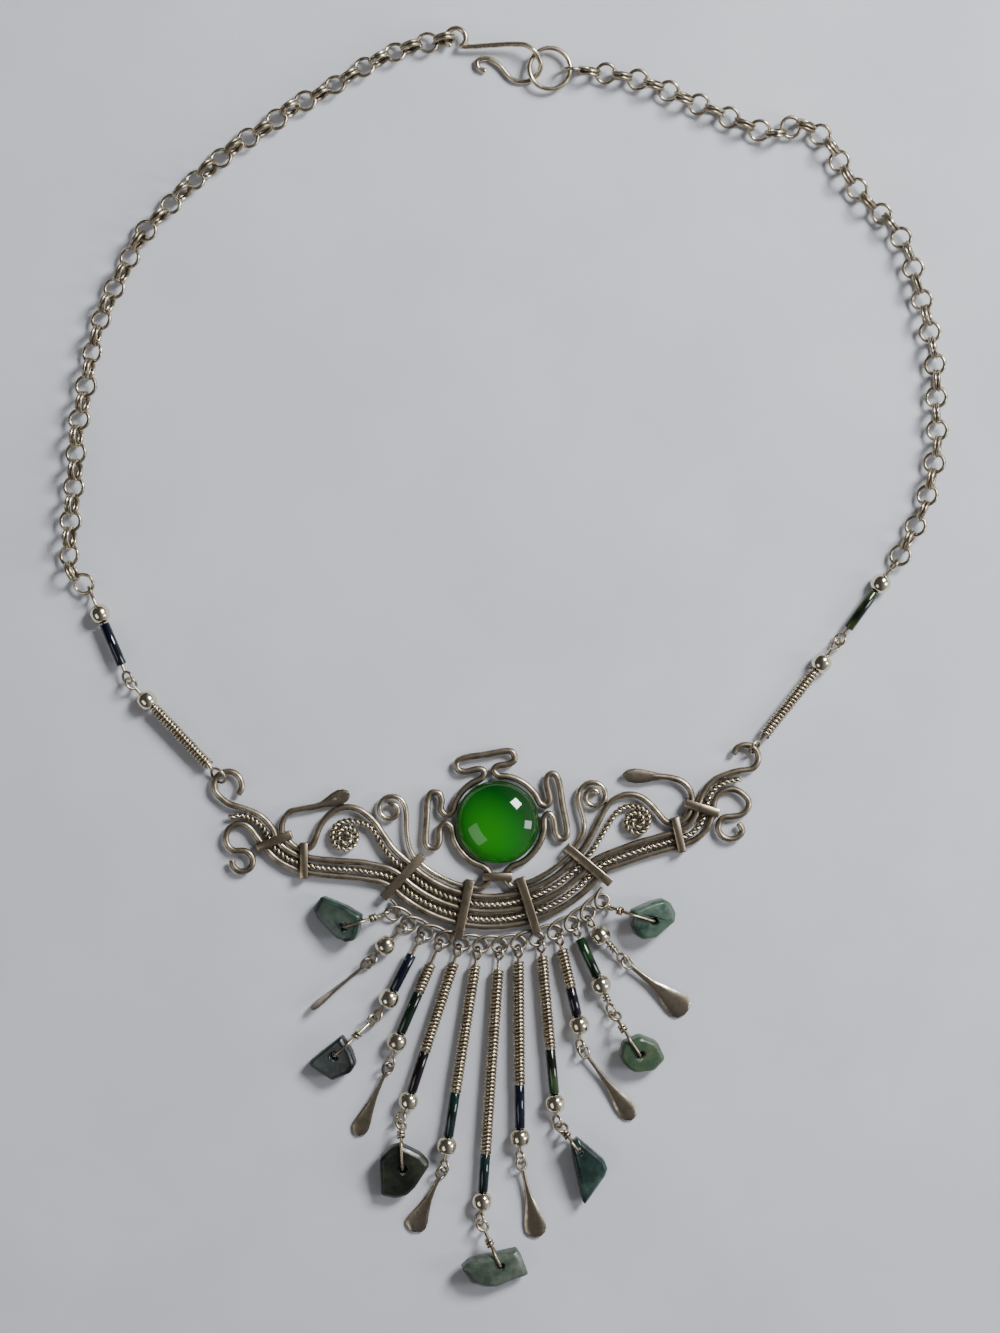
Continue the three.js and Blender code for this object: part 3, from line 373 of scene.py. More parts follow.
# Routes of the bib's wires, each from its left end to its right end ------------------------------
RAIL = [
    *arc([-48.9, -38.3], 1.95, 175, 435, 9), *arc([-49.35, -33.95], 2.65, 240, 40, 7),
    [-46.3, -33.6], [-45.0, -35.3], [-42.9, -37.6], [-41.0, -38.9], [-38.9, -39.9], [-37.3, -40.3],
    [-35.9, -40.6], [-32.5, -41.0], [-28.8, -41.3], [-25.0, -41.8], [-23.2, -42.1],
    *band(26.9, -44, 52), [20.1, -39.6], [22.2, -38.9], [25.8, -37.6], [29.5, -36.5],
    [33.35, -35.4], [36.3, -34.1], [38.4, -32.0], [39.35, -29.0], [39.7, -27.0], [40.6, -25.7],
    [42.1, -24.9], [43.6, -24.9], [45.1, -25.8], [46.1, -27.1], [45.9, -28.4], [44.9, -29.5],
    [43.2, -29.9], [41.5, -30.1], [40.6, -31.0], [40.4, -32.3], [41.2, -33.7], [42.7, -34.2],
    [44.2, -33.7], [44.9, -32.5], [44.2, -31.2],
]
OUTER_TWIST = [
    [-51.3, -30.1], [-49.4, -29.7], [-47.6, -30.1], [-45.5, -31.6], [-44.3, -33.2], [-43.7, -34.8],
    [-42.0, -36.6], [-40.0, -38.0], [-37.3, -38.9], [-33.5, -39.6], [-29.7, -39.8], [-26.9, -40.0],
    [-24.1, -40.5], [-22.2, -40.9], *band(25.5, -45, 51), [19.2, -38.6], [21.7, -37.6],
    [25.3, -36.3], [29.0, -35.2], [33.05, -34.05], [35.5, -33.0], [37.2, -31.1], [38.0, -28.6],
    [38.5, -26.7], [39.3, -25.2], [40.4, -24.2], [42.1, -23.4], [44.6, -22.9],
]
EYE_WIRE_LINE = [
    *arc([-51.6, -24.1], 2.6, -42, 232, 10), [-51.5, -27.5], [-49.4, -28.2], [-47.6, -28.8],
    [-45.7, -29.7], [-44.2, -31.0], [-43.1, -32.5], [-42.4, -34.3], [-41.3, -35.6],
    [-39.7, -36.65], [-38.5, -37.25], [-37.3, -37.5], [-34.0, -38.0], [-30.6, -38.3],
    [-26.9, -38.5], [-24.1, -39.0], [-21.6, -39.6], *band(24.1, -45, 52), [18.5, -37.4],
    [21.2, -36.3], [24.8, -35.0], [28.6, -33.9], [32.75, -32.7], [34.7, -31.7], [36.0, -30.1],
    [36.65, -28.1], [37.3, -26.1], [38.4, -24.3], [39.9, -22.9], [41.7, -22.1], [44.2, -21.4],
    *arc([45.5, -18.9], 2.4, -62, 165, 8),
]
ARCH = [
    [-31.2, -26.6], [-35.0, -28.0], [-38.2, -28.6], [-40.0, -29.1], [-41.2, -30.6], [-41.5, -32.2],
    [-41.1, -33.8], [-39.9, -34.9], [-38.7, -35.8], [-37.3, -36.1], [-35.9, -35.5], [-35.2, -34.0],
    [-34.5, -32.1], [-33.3, -30.3], [-31.8, -29.0], [-30.1, -28.3], [-28.6, -28.2], [-26.9, -28.7],
    [-25.4, -29.7], [-23.9, -31.2], [-22.2, -33.7], [-20.7, -35.8], [-19.1, -37.4],
    *band(21.3, -45, 48), [15.2, -35.9], [16.7, -33.4], [17.9, -31.0], [19.0, -28.8],
    [20.3, -27.1], [22.0, -26.1], [24.1, -25.8], [25.9, -26.3], [27.6, -27.6], [29.1, -29.3],
    [30.6, -30.9], [32.46, -31.3], [33.9, -30.6], [34.9, -29.3], [35.3, -27.7], [35.4, -26.1],
    [34.8, -24.5], [33.4, -23.3], [31.6, -22.7], [27.5, -22.3],
]
INNER_TWIST = [
    *spiral([-29.5, -33.7], [0.55, 2.9], 826, 90, 21), [-27.6, -30.9], [-25.8, -31.4],
    [-24.4, -32.5], [-23.5, -34.0], [-22.4, -35.9], [-21.0, -37.6], [-19.8, -38.7],
    *band(22.7, -45, 50), [16.5, -36.7], [17.7, -34.9], [18.8, -33.0], [20.0, -31.0],
    [21.3, -29.2], [22.8, -28.2], *spiral([24.9, -30.8], [2.75, 0.55], 90, -600, 20),
]
CURL_LEFT = [
    *band(19.9, -13.5, -45), [-17.3, -36.4], [-17.8, -34.8], [-18.1, -32.5],
    *spiral([-21.1, -28.6], [2.85, 0.9], 0, 480, 15),
]
CURL_RIGHT = [
    *band(19.9, 19.5, 48), [13.8, -35.2], [14.8, -33.6], [15.2, -32.0], [15.0, -30.2],
    [14.5, -28.4], *spiral([17.0, -26.1], [2.9, 0.9], 180, -330, 16),
]

# Metals and glass ------------------------------------------------------------------------------
# Columns of a metal: name, bright, dark, share of the dark, its two roughnesses, dents.
BRIGHT = metal("alpaca_bright", (0.66, 0.58, 0.43), (0.26, 0.20, 0.13), 0.46, (0.2, 0.38))
TARNISHED = metal("alpaca_tarnished", (0.47, 0.40, 0.30), (0.15, 0.12, 0.08), 0.5, (0.28, 0.48))
STRIP = metal("alpaca_strip", (0.46, 0.38, 0.27), (0.20, 0.155, 0.105), 0.5, (0.26, 0.42))
HAMMERED = metal("alpaca_hammered", (0.44, 0.38, 0.29), (0.17, 0.14, 0.10), 0.5, (0.26, 0.44), 0.2)
COIL = metal("alpaca_coil", (0.60, 0.52, 0.38), (0.26, 0.20, 0.13), 0.46, (0.24, 0.36))
CHAIN = metal("alpaca_chain", (0.58, 0.51, 0.38), (0.22, 0.17, 0.11), 0.48, (0.22, 0.38))
POLISHED = metal("alpaca_polished", (0.84, 0.76, 0.58), (0.60, 0.52, 0.38), 0.42, (0.12, 0.2), 0.03)
BUGLES = {
    "03": glass("bugle_navy", (0.0021, 0.0028, 0.0077), (0.0042, 0.0063, 0.01575)),
    "04": glass("bugle_black_green", (0.0014, 0.0028, 0.00175), (0.0035, 0.01225, 0.00525)),
    "05": glass("bugle_black_red", (0.0028, 0.0014, 0.00245), (0.0105, 0.0028, 0.007)),
    "06": glass("bugle_dark_green", (0.00175, 0.0049, 0.0035), (0.0035, 0.0175, 0.014)),
    "07": glass("bugle_teal", (0.00175, 0.0056, 0.00595), (0.0042, 0.01575, 0.01575)),
    "08": glass("bugle_blue", (0.0021, 0.0028, 0.00875), (0.0035, 0.007, 0.021)),
    "09": glass("bugle_pale_green", (0.0035, 0.007, 0.0028), (0.028, 0.056, 0.021)),
    "10": glass("bugle_purple", (0.00245, 0.00175, 0.0042), (0.0105, 0.00525, 0.0175)),
    "11": glass("bugle_bright_green", (0.0021, 0.0056, 0.0021), (0.0105, 0.042, 0.0105)),
    "left": glass("bugle_side_navy", (0.0021, 0.00315, 0.0098), (0.0042, 0.007, 0.0175)),
    "right": glass("bugle_side_olive", (0.0042, 0.0063, 0.0021), (0.0315, 0.0455, 0.014)),
}

# The bib's wires -------------------------------------------------------------------------------
RAIL_WIRE = wire(RAIL, BIB_WIRE, high=FLATTENED)
build("rail", [RAIL_WIRE], [TARNISHED], ["outer_rail_wire"])
OUTER_STRANDS = twist(OUTER_TWIST, STRAND, TWIST_PITCH)
build("outer_twist", OUTER_STRANDS, [BRIGHT], ["outer_twist_wire"])
EYE_WIRE = wire(EYE_WIRE_LINE, BIB_WIRE, high=FLATTENED)
build("eye_line", [EYE_WIRE], [TARNISHED], ["eye_wire"])
INNER_STRANDS = twist(INNER_TWIST, STRAND, TWIST_PITCH)
build("inner_twist", INNER_STRANDS, [BRIGHT], ["inner_twist_wire"])
build("curl_left", [wire(CURL_LEFT, 0.5)], [BRIGHT], ["curl_wire_left"])
build("curl_right", [wire(CURL_RIGHT, 0.5)], [BRIGHT], ["curl_wire_right"])


def blade(length, half, thick, shares, mat=0, z=0.0, dent=0.025, per=34):
    """A hammered leaf along +X: thin at the rim, fuller in the middle, faintly dented."""
    at = np.linspace(0.001, 0.999, per)
    width = np.interp(at, [s[0] for s in shares], [s[1] for s in shares]) * half
    across = np.linspace(-1, 1, 11)
    top, bottom = [], []
    for a, w in zip(at, width):
        for c in across:
            swell = thick / 2 * math.sqrt(max(0.06, 1 - abs(c) ** 3))
            hit = dent * RNG.standard_normal() * 0.35
            top.append((a * length, c * w, z + swell + hit))
            bottom.append((a * length, c * w, z - swell))
    n, k = per, len(across)
    faces = []
    for i in range(n - 1):
        for j in range(k - 1):
            p, q = i * k + j, (i + 1) * k + j
            faces.append((p, q, q + 1, p + 1))
            faces.append((n * k + p, n * k + p + 1, n * k + q + 1, n * k + q))
    rim = [i * k for i in range(n)] + [(n - 1) * k + j for j in range(1, k)]
    rim += [i * k + k - 1 for i in range(n - 2, -1, -1)] + [j for j in range(k - 2, 0, -1)]
    for a, b in zip(rim, rim[1:] + rim[:1]):
        faces.append((a, n * k + a, n * k + b, b))
    return np.array(top + bottom), faces, mat


LEAF = [(0, 0.35), (0.25, 0.6), (0.5, 0.9), (0.7, 1), (0.88, 0.8), (0.97, 0.45), (1, 0.2)]
PADDLE = [(0, 0.2), (0.2, 0.22), (0.4, 0.34), (0.6, 0.62), (0.78, 0.93), (0.88, 1), (0.96, 0.8), (1, 0.35)]


def leaf_at(root, tip, half):
    length = math.dist(root, tip)
    return move(blade(length, half, 0.8, LEAF, 1), placement([*root, WIRE_Z], [*tip, WIRE_Z]))


ARCH_PARTS = [
    wire(ARCH, BIB_WIRE, high=FLATTENED),
    leaf_at((-34.5, -27.9), (-28.8, -25.6), 1.45),
    leaf_at((30.4, -22.55), (22.4, -22.2), 1.4),
]
build("arch", ARCH_PARTS, [TARNISHED, HAMMERED], ["arch_wire"])

# The three T-shaped fingers round the stone. Columns: heading, back, front, inner, outer, neck, lean.
FINGERS = [
    (176.6, 5.6, 4.9, 10.75, 13.3, 0.78, 0),
    (99.7, 5.8, 5.2, 10.4, 12.9, 0.9, 0),
    (14, 6.4, 6.0, 10.4, 12.6, 0.78, -4),
]


def finger(heading, back, front, inner, outer, neck, lean):
    mid = (inner + outer) / 2
    shape = [(-neck, 9.75), (-1.7, inner), (-(back - 1.3), inner), (-back + 0.25, inner + 0.45), (-back, mid),
             (-back + 0.25, outer - 0.45), (-(back - 1.3), outer), (0, outer), (front - 1.3, outer),
             (front - 0.25, outer - 0.45), (front, mid), (front - 0.25, inner + 0.45), (front - 1.3, inner),
             (1.7, inner), (neck, 9.75)]
    out, side = math.radians(heading), math.radians(heading + lean)
    points = []
    for a, r in shape:
        x = STONE[0] + r * math.cos(out) + a * math.sin(side)
        y = STONE[1] + r * math.sin(out) - a * math.cos(side)
        points.append([x, y])
    return points


def ring_part(start, end):
    return arc(STONE, 8.8, start, end, max(3, round(abs(end - start) / 14) + 1))


FRAME_LINE = [
    band_point(19.8, -10.7), band_point(19.8, -6), [-2.9, -42.3], [-2.55, -41.4], [-2.6, -40.5],
    *ring_part(253, 185.6), *finger(*FINGERS[0]), *ring_part(167.6, 109.7), *finger(*FINGERS[1]),
    *ring_part(89.7, 23), *finger(*FINGERS[2]), *ring_part(5, -73),
    [0.6, -40.5], [0.55, -41.4], [0.9, -42.3], band_point(19.8, 12), band_point(19.8, 16.6),
]
FRAME_WIRE = wire(FRAME_LINE, 0.62, high=0.88)
build("stone_frame", [FRAME_WIRE], [TARNISHED], ["stone_frame_wire"])

# The glass stone -------------------------------------------------------------------------------
def green_glass():
    """Painted light: bright where the light leaves it at the lower left, and painted dark towards the far rim."""
    mat, tree, shader = surface("green_glass")
    coords = tree.nodes.new("ShaderNodeTexCoord")
    light_spot = tree.nodes.new("ShaderNodeMapping")
    centre = (SHIFT[:2] + np.array(STONE)) / 1000
    light_spot.inputs["Location"].default_value = (-(centre[0] - 0.0035), -(centre[1] - 0.0035), 0)
    fall = tree.nodes.new("ShaderNodeVectorMath")
    fall.operation = "LENGTH"
    tree.links.new(coords.outputs["Object"], light_spot.inputs["Vector"])
    tree.links.new(light_spot.outputs["Vector"], fall.inputs[0])
    scale = tree.nodes.new("ShaderNodeMath")
    scale.operation = "MULTIPLY"
    scale.inputs[1].default_value = 75
    tree.links.new(fall.outputs["Value"], scale.inputs[0])
    # Painted light and shade in the base colour, from the bright spot out to the rim.
    greens = [
        (0.0, (0.07, 0.50, 0.02)),
        (0.4, (0.015, 0.24, 0.008)),
        (0.8, (0.002, 0.05, 0.003)),
        (1.0, (0.001, 0.02, 0.002)),
    ]
    tree.links.new(ramp(tree, scale.outputs[0], greens), shader.inputs["Base Color"])
    shader.inputs["Roughness"].default_value = 0.05
    shader.inputs["Coat Weight"].default_value = 0.15
    shader.inputs["Coat Roughness"].default_value = 0.02
    bump(tree, shader, noise(tree, 160, 2), 0.03)
    return mat


# The dome's rows are height and radius: a flat back, a short wall, then the rounded top.
DOME = [(0.5, 0.02), (0.5, 7.4), (0.8, 7.8), (1.3, 7.85)]
DOME += [(1.3 + 4.2 * math.sin(a), 7.85 * math.cos(a)) for a in np.linspace(0.08, 1.565, 22)]
stand = Matrix.Translation((*STONE, 0)) @ Matrix.Rotation(-math.pi / 2, 4, "Y")
build("stone", [move(turned(DOME, 72), stand)], [green_glass()], ["glass_cabochon"])


# Straps: soft-edged copies of the folded strips -------------------------------------------------
def soft_copy(name, node, mat, width, segments, sharp):
    """A copy of a CAD mesh with its edges worn round."""
    copy = bpy.data.objects.new(name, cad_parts[node].data.copy())
    bpy.context.scene.collection.objects.link(copy)
    copy.data.materials.clear()
    copy.data.materials.append(mat)
    weld = copy.modifiers.new("weld", "WELD")
    weld.merge_threshold = 0.00002
    soft = copy.modifiers.new("soft", "BEVEL")
    soft.width = width
    soft.segments = segments
    soft.angle_limit = math.radians(sharp)
    copy.data.shade_smooth()
    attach(copy, "root")
    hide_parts(node)


for strip in [f"strap_{letter}" for letter in "abcdefgh"] + ["neck_collar"]:
    soft_copy("soft_" + strip, strip, STRIP, 0.00018, 3, 40)


# Hanger and fringe ------------------------------------------------------------------------------
def loop_heading(index):
    return FIRST_LOOP + LOOP_STEP * index


def hanger_line(steps=28, swing=1.5, lift=0.5, lean=2.15, height=1.05):
    """A wire that swings in and out on the band, once for each loop, and rises and falls."""
    points = []
    for i in range(-steps // 2, (LOOPS - 1) * steps + steps // 2 + 1):
        a = 2 * math.pi * i / steps
        shift = -lean * math.sin(a) * 180 / (math.pi * HANGER_RADIUS)
        heading = FIRST_LOOP + LOOP_STEP * i / steps + shift
        points.append(band_point(HANGER_RADIUS + swing * math.cos(a), heading, height + lift * math.sin(a)))
    return np.array(points)


HANGER = sweep(hanger_line(), 0.31, 8)
build("hanger", [HANGER], [TARNISHED], ["fringe_hanger_wire"])


def bead(centre, mat=2):
    rows = []
    for s in np.sin(np.linspace(-1.45, 1.45, 17)):
        radius = BEAD_RADIUS * (max(0.0, 1 - abs(s) ** BEAD_POWER)) ** (1 / BEAD_POWER)
        rows.append((centre + BEAD_RADIUS * s, radius))
    part = turned(rows, 26, mat)
    part[0][:, 1:] *= 1 + 0.004 * RNG.standard_normal((len(part[0]), 1))
    return part


def coil(start, end, radius=0.78, thick=0.33, mat=0):
    turns = max(1, int((end - start) / 0.72))
    a = np.linspace(0, 2 * math.pi * turns, turns * 18)
    x = start + thick + (end - start - 2 * thick) * np.arange(len(a)) / (len(a) - 1)
    line = np.stack([x, radius * np.cos(a), radius * np.sin(a)], 1)
    core = turned([(start, 0.3), (start, 0.72), (end, 0.72), (end, 0.3)], 10, mat)
    return [sweep(line, thick, 8, mat), core]


BUGLE_END = [(0, 0.55), (0.02, 0.86), (0.12, 0.95)]  # distance from the end, radius


def bugle(start, end, mat=1):
    rows = [(start + d, r) for d, r in BUGLE_END]
    rows += [(end - d, r) for d, r in reversed(BUGLE_END)]
    return turned(rows, 20, mat)


Stem = namedtuple("Stem", "loop offset bead foot coil bugle")
STEMS = {
    "02": Stem(1, -1.2, (-22.1, -54.1), (-24.6, -56.8), 0, 0),
    "03": Stem(2, -0.8, (-21.4, -64.1), (-23.6, -67.3), 0, 7.5),
    "04": Stem(3, -0.8, (-19.9, -72.2), (-21.1, -76.0), 6.0, 8.2),
    "05": Stem(4, -0.9, (-17.7, -83.3), (-19.2, -86.4), 17.6, 7.9),
    "06": Stem(5, -1.0, (-10.5, -91.7), (-11.0, -95.6), 24.2, 8.3),
    "07": Stem(6, -0.3, (-3.9, -102.1), (-4.4, -105.5), 34.6, 7.1),
    "08": Stem(7, -0.5, (3.2, -90.2), (3.2, -93.9), 23.2, 8.1),
    "09": Stem(8, 0.6, (9.8, -83.7), (10.2, -87.2), 17.6, 8.3),
    "10": Stem(9, 0.5, (14.3, -69.0), (14.5, -73.0), 7.4, 5.4),
    "11": Stem(10, 0.1, (18.4, -61.5), (20.3, -66.2), 0, 7.7),
    "12": Stem(11, -1.0, (18.3, -52.2), (22.4, -56.6), 0, 0),
}


def fringe_stem(number, stem):
    """Upper eye, coil, bugle and bead on one wire, then a short neck to the lower eye."""
    hang = band_point(HANG_RADIUS, loop_heading(stem.loop) + stem.offset)[:2]
    span = math.dist(hang, stem.bead)
    tail = math.dist(stem.bead, stem.foot)
    bugle_end = span - BEAD_RADIUS
    bugle_start = bugle_end - stem.bugle
    coil_start = max(bugle_start - stem.coil, 1.2)
    upper = placement([*hang, HANG_HEIGHT], [*stem.bead, BEAD_RADIUS])
    lower = placement([*stem.bead, BEAD_RADIUS], [*stem.foot, FOOT_HEIGHT])
    parts = [eye(0, UPPER_ROLL), pin(1.0, span), bead(span)]
    if stem.coil:
        parts += coil(coil_start, bugle_start)
    if stem.bugle:
        parts.append(bugle(bugle_start, bugle_end))
    parts = [move(p, upper) for p in parts]
    parts += [move(pin(1.4, tail - 1.0), lower), move(eye(tail, LOWER_ROLL), lower)]
    if tail > 4.2:
        parts.append(move(coil(1.9, tail - 1.5, 0.5, 0.24)[0], lower))
    mats = [COIL, BUGLES.get(number, COIL), POLISHED]
    build("fringe_" + number, parts, mats, ["stem_" + number])


for number, stem in STEMS.items():
    fringe_stem(number, stem)

Paddle = namedtuple("Paddle", "heading length width roll")
PADDLES = {
    "02": Paddle(-50.9, 13.4, 3.0, 68),
    "04": Paddle(-24.7, 14.0, 3.2, 0),
    "06": Paddle(-26.2, 12.4, 4.1, 0),
    "08": Paddle(12.3, 14.2, 4.0, 0),
    "10": Paddle(35.8, 15.8, 3.4, 0),
    "12": Paddle(50, 14.6, 4.7, 0),
}


def paddle_drop(number, heading, length, width, roll):
    foot = STEMS[number].foot
    a = math.radians(heading)
    at = [foot[0] + EYE_REACH * math.sin(a), foot[1] - EYE_REACH * math.cos(a)]
    tip = [at[0] + length * math.sin(a), at[1] - length * math.cos(a)]
    pose = placement([*at, 1.45], [*tip, 0.3 + width / 2 * math.sin(math.radians(roll))])
    rolled = Matrix.Rotation(math.radians(roll), 4, "X") @ Matrix.Translation((0.8, 0, 0))
    leaf = move(blade(length - 0.8, width / 2, 0.6, PADDLE, per=46), rolled)
    parts = [move(leaf, pose), move(eye(0, -40), pose)]
    build("drop_" + number, parts, [HAMMERED], ["paddle_" + number])


for number, paddle in PADDLES.items():
    paddle_drop(number, *paddle)

# Jade chips and their bails ---------------------------------------------------------------------
# Number of the chip: its drilled hole, then its outline
CHIPS = {
    "01": ((-29.0, -50.2),
        [[-33.5, -44.7], [-35.2, -47.2], [-34.4, -48.7], [-30.6, -52.5], [-28.8, -53.2],
        [-27.3, -52.8], [-26.5, -51.3], [-25.8, -48.1], [-28.8, -46.4]]),
    "03": ((-31.0, -74.1),
        [[-29.7, -70.3], [-27.8, -73.3], [-27.1, -75.8], [-28.0, -77.3], [-31.6, -79.0],
        [-36.1, -76.1], [-35.9, -75.4]]),
    "05": ((-18.8, -95.1),
        [[-20.7, -90.8], [-19.2, -90.4], [-15.2, -92.5], [-13.7, -94.4], [-16.5, -98.9],
        [-18.0, -100.4], [-20.1, -101.1], [-22.9, -100.4], [-22.7, -95.5], [-23.1, -93.1]]),
    "07": ((-0.8, -113.0),
        [[-8.1, -113.4], [-6.6, -112.0], [-1.7, -111.1], [2.3, -110.2], [3.2, -111.5],
        [4.5, -115.1], [-1.5, -117.5], [-3.9, -117.3], [-6.2, -116.4]]),
    "09": ((13.9, -92.0),
        [[12.4, -90.7], [13.7, -89.6], [18.8, -94.0], [19.4, -95.5], [19.0, -96.8],
        [17.7, -97.8], [15.2, -102.3], [14.7, -101.7], [13.0, -94.6]]),
    "11": ((25.2, -73.7),
        [[22.0, -71.3], [25.2, -70.1], [28.6, -71.6], [30.1, -74.8], [28.0, -77.1],
        [24.3, -77.3], [22.6, -76.1], [21.4, -74.3]]),
    "13": ((27.4, -49.1),
        [[23.3, -47.0], [27.3, -45.5], [29.5, -45.1], [30.8, -45.9], [31.8, -47.8],
        [31.6, -49.4], [28.0, -52.3], [25.4, -52.6], [24.1, -51.7], [23.3, -49.8]]),
}
# Routes of the chain, from the side bars up to the clasp
LEFT_CHAIN = [
    [-78.6, 13.7], [-80.9, 16.2], [-81.2, 22.9], [-80.7, 29.3], [-80.1, 35.5], [-79.9, 41.9],
    [-78.6, 48.3], [-77.5, 54.5], [-76.0, 61.1], [-73.8, 67.1], [-70.9, 72.8], [-67.9, 78.6],
    [-63.5, 83.5], [-59.4, 87.8], [-54.2, 92.3], [-49.6, 96.1], [-44.6, 99.1], [-39.7, 102.8],
    [-33.8, 105.8], [-28.6, 109.0], [-23.3, 112.0], [-17.5, 114.3], [-11.0, 115.8],
]
RIGHT_CHAIN = [
    [74.5, 19.1], [76.1, 22.2], [78.8, 27.8], [80.3, 33.7], [81.4, 40.0], [81.2, 45.7],
    [81.2, 52.3], [80.5, 58.5], [79.3, 64.1], [77.5, 70.3], [76.0, 76.0], [72.6, 81.4],
    [67.9, 85.9], [64.1, 91.0], [61.1, 96.3], [56.0, 99.8], [50.8, 98.1], [45.3, 99.8],
    [39.9, 102.3], [34.0, 104.7], [28.4, 107.2], [22.5, 108.9], [16.4, 109.7], [13.1, 110.1],
]

# Columns: name, then the dark, middle and light colours, and the share of the dark
JADES = {
    "01": jade(
        "jade_dark_green", (0.00842, 0.0219, 0.0153), (0.0226, 0.0534, 0.0341), (0.0759, 0.0875, 0.0567), 0.55
    ),
    "03": jade(
        "jade_black_green", (0.00391, 0.00622, 0.00583), (0.00886, 0.0177, 0.0158), (0.0237, 0.0506, 0.0467), 0.56
    ),
    "05": jade(
        "jade_dark_olive", (0.00556, 0.00671, 0.00479), (0.0153, 0.0184, 0.0114), (0.0369, 0.0388, 0.0234), 0.54
    ),
    "07": jade(
        "jade_grey_green", (0.0206, 0.0283, 0.0226), (0.0577, 0.077, 0.0577), (0.134, 0.157, 0.127), 0.48
    ),
    "09": jade(
        "jade_teal_green", (0.00589, 0.012, 0.0101), (0.015, 0.0323, 0.0258), (0.0401, 0.0748, 0.0556), 0.54
    ),
    "11": jade(
        "jade_green", (0.019, 0.0363, 0.019), (0.0465, 0.083, 0.0465), (0.0896, 0.101, 0.0512), 0.5
    ),
    "13": jade(
        "jade_mottled", (0.0132, 0.0294, 0.0201), (0.0401, 0.0786, 0.0517), (0.0951, 0.141, 0.099), 0.5
    ),
}
BAIL_ROLLS = {"01": 78, "13": -62}
PLAIN_BAIL_ROLL = 40


def bail_hook(number, hole):
    """Where a bail's eye hangs: the end chips on the hanger, the others on their stem's lower eye."""
    if number == "01":
        return band_point(31.5, loop_heading(0) - 2.0, 1.5)
    if number == "13":
        return band_point(31.85, loop_heading(LOOPS - 1) + 0.2, 1.4)
    foot = STEMS[number].foot
    share = EYE_REACH / math.dist(hole, foot)
    x, y = (foot[k] + (hole[k] - foot[k]) * share for k in range(2))
    return [x, y, BAIL_EYE_HEIGHT]


def edge_ahead(local):
    """How far the chip's outline reaches along +X from its hole."""
    edge = 0.0
    for (x, y), (nx, ny) in zip(local, np.roll(local, -1, axis=0)):
        if y * ny <= 0 and y != ny:
            edge = max(edge, x + (nx - x) * -y / (ny - y))
    return edge


def bail(number, hole, outline):
    """Wire down through the hole and back under the edge, wound beside the chip."""
    hook = bail_hook(number, hole)
    heading = math.atan2(hook[1] - hole[1], hook[0] - hole[0])
    turn = np.array([[math.cos(heading), math.sin(heading)], [-math.sin(heading), math.cos(heading)]])
    local = (np.array(outline) - hole) @ turn.T
    tilt = math.asin(UNDERPASS / (0.8 * -local[:, 0].min()))
    base = local + (local.mean(axis=0) - local) * 0.16
    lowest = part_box("jade_chip_" + number)[0][2] * 1000
    lift = lowest - (base[:, 0] * math.sin(tilt)).min()
    edge = edge_ahead(local)
    wrap = min(edge + 1.7, math.dist(hole, hook[:2]) - 1.9)
    path = [
        (wrap + 0.4, 1.2), (min(edge + 0.6, wrap - 0.5), 3.1), (edge - 0.4, BAIL_OVER), (0.5, BAIL_OVER),
        (0, 2.8), (0, 0.2), (0.5, BAIL_UNDER), (edge - 0.4, BAIL_UNDER),
        (min(edge + 0.7, wrap - 0.5), -0.25), (wrap + 0.4, 1.2),
    ]
    loop = []
    for along, height in path:
        x = along * math.cos(tilt) - height * math.sin(tilt)
        z = along * math.sin(tilt) + height * math.cos(tilt) + lift
        loop.append([hole[0] + x * math.cos(heading), hole[1] + x * math.sin(heading), z])
    pose = placement(loop[0], hook)
    gap = math.dist(loop[0], hook)
    parts = [wire(loop, THIN_WIRE, 6, 8), move(coil(-0.7, 1.3, 0.55, THIN_WIRE)[0], pose)]
    parts.append(move(pin(0, gap - 0.95), pose))
    parts.append(move(eye(gap, BAIL_ROLLS.get(number, PLAIN_BAIL_ROLL)), pose))
    build("bail_" + number, parts, [COIL], ["chip_bail_" + number])


for number, (hole, outline) in CHIPS.items():
    chip = "jade_chip_" + number
    soft_copy("worn_" + chip, chip, JADES[number], 0.0005, 4, 14)
    bail(number, hole, outline)


# Side bars --------------------------------------------------------------------------------------
def side_bar(name, start, end, pieces, rolls, last, mats):
    pose = placement(start, end)
    long = math.dist(start, end)
    parts = [pin(1.0, long - last + 0.1), eye(0, rolls[0]), eye(long, rolls[1], last)] + pieces
    build("side_" + name, [move(p, pose) for p in parts], mats, [name])


# Columns: side, upper eye, lower eye
BUGLE_BARS = [
    ("left", (-77.3, 12.1, 1.7), (-70.4, -3.9, 1.83)),
    ("right", (73.4, 17.3, 1.7), (63.2, 3.3, 1.83)),
]
for side, start, end in BUGLE_BARS:
    pieces = [bead(4.4), bugle(6.4, 14.8)]
    mats = [COIL, BUGLES[side], POLISHED]
    side_bar("bugle_bar_" + side, start, end, pieces, (80, 40), EYE_RADIUS, mats)

# Columns: side, upper eye, lower eye, end of the coil, lean of the two eyes, radius of the lower eye
COIL_BARS = [
    ("left", (-69.7, -5.0, 1.83), (-53.4, -22.25, 1.62), 21.4, (-50, 50), 1.62),
    ("right", (62.4, 2.25, 1.83), (47.2, -16.9, 1.66), 21.9, (-50, -66), 1.48),
]
for side, start, end, coil_end, rolls, last in COIL_BARS:
    pieces = [bead(4.3), *coil(6.2, coil_end)]
    side_bar("coil_bar_" + side, start, end, pieces, rolls, last, [COIL, COIL, POLISHED])

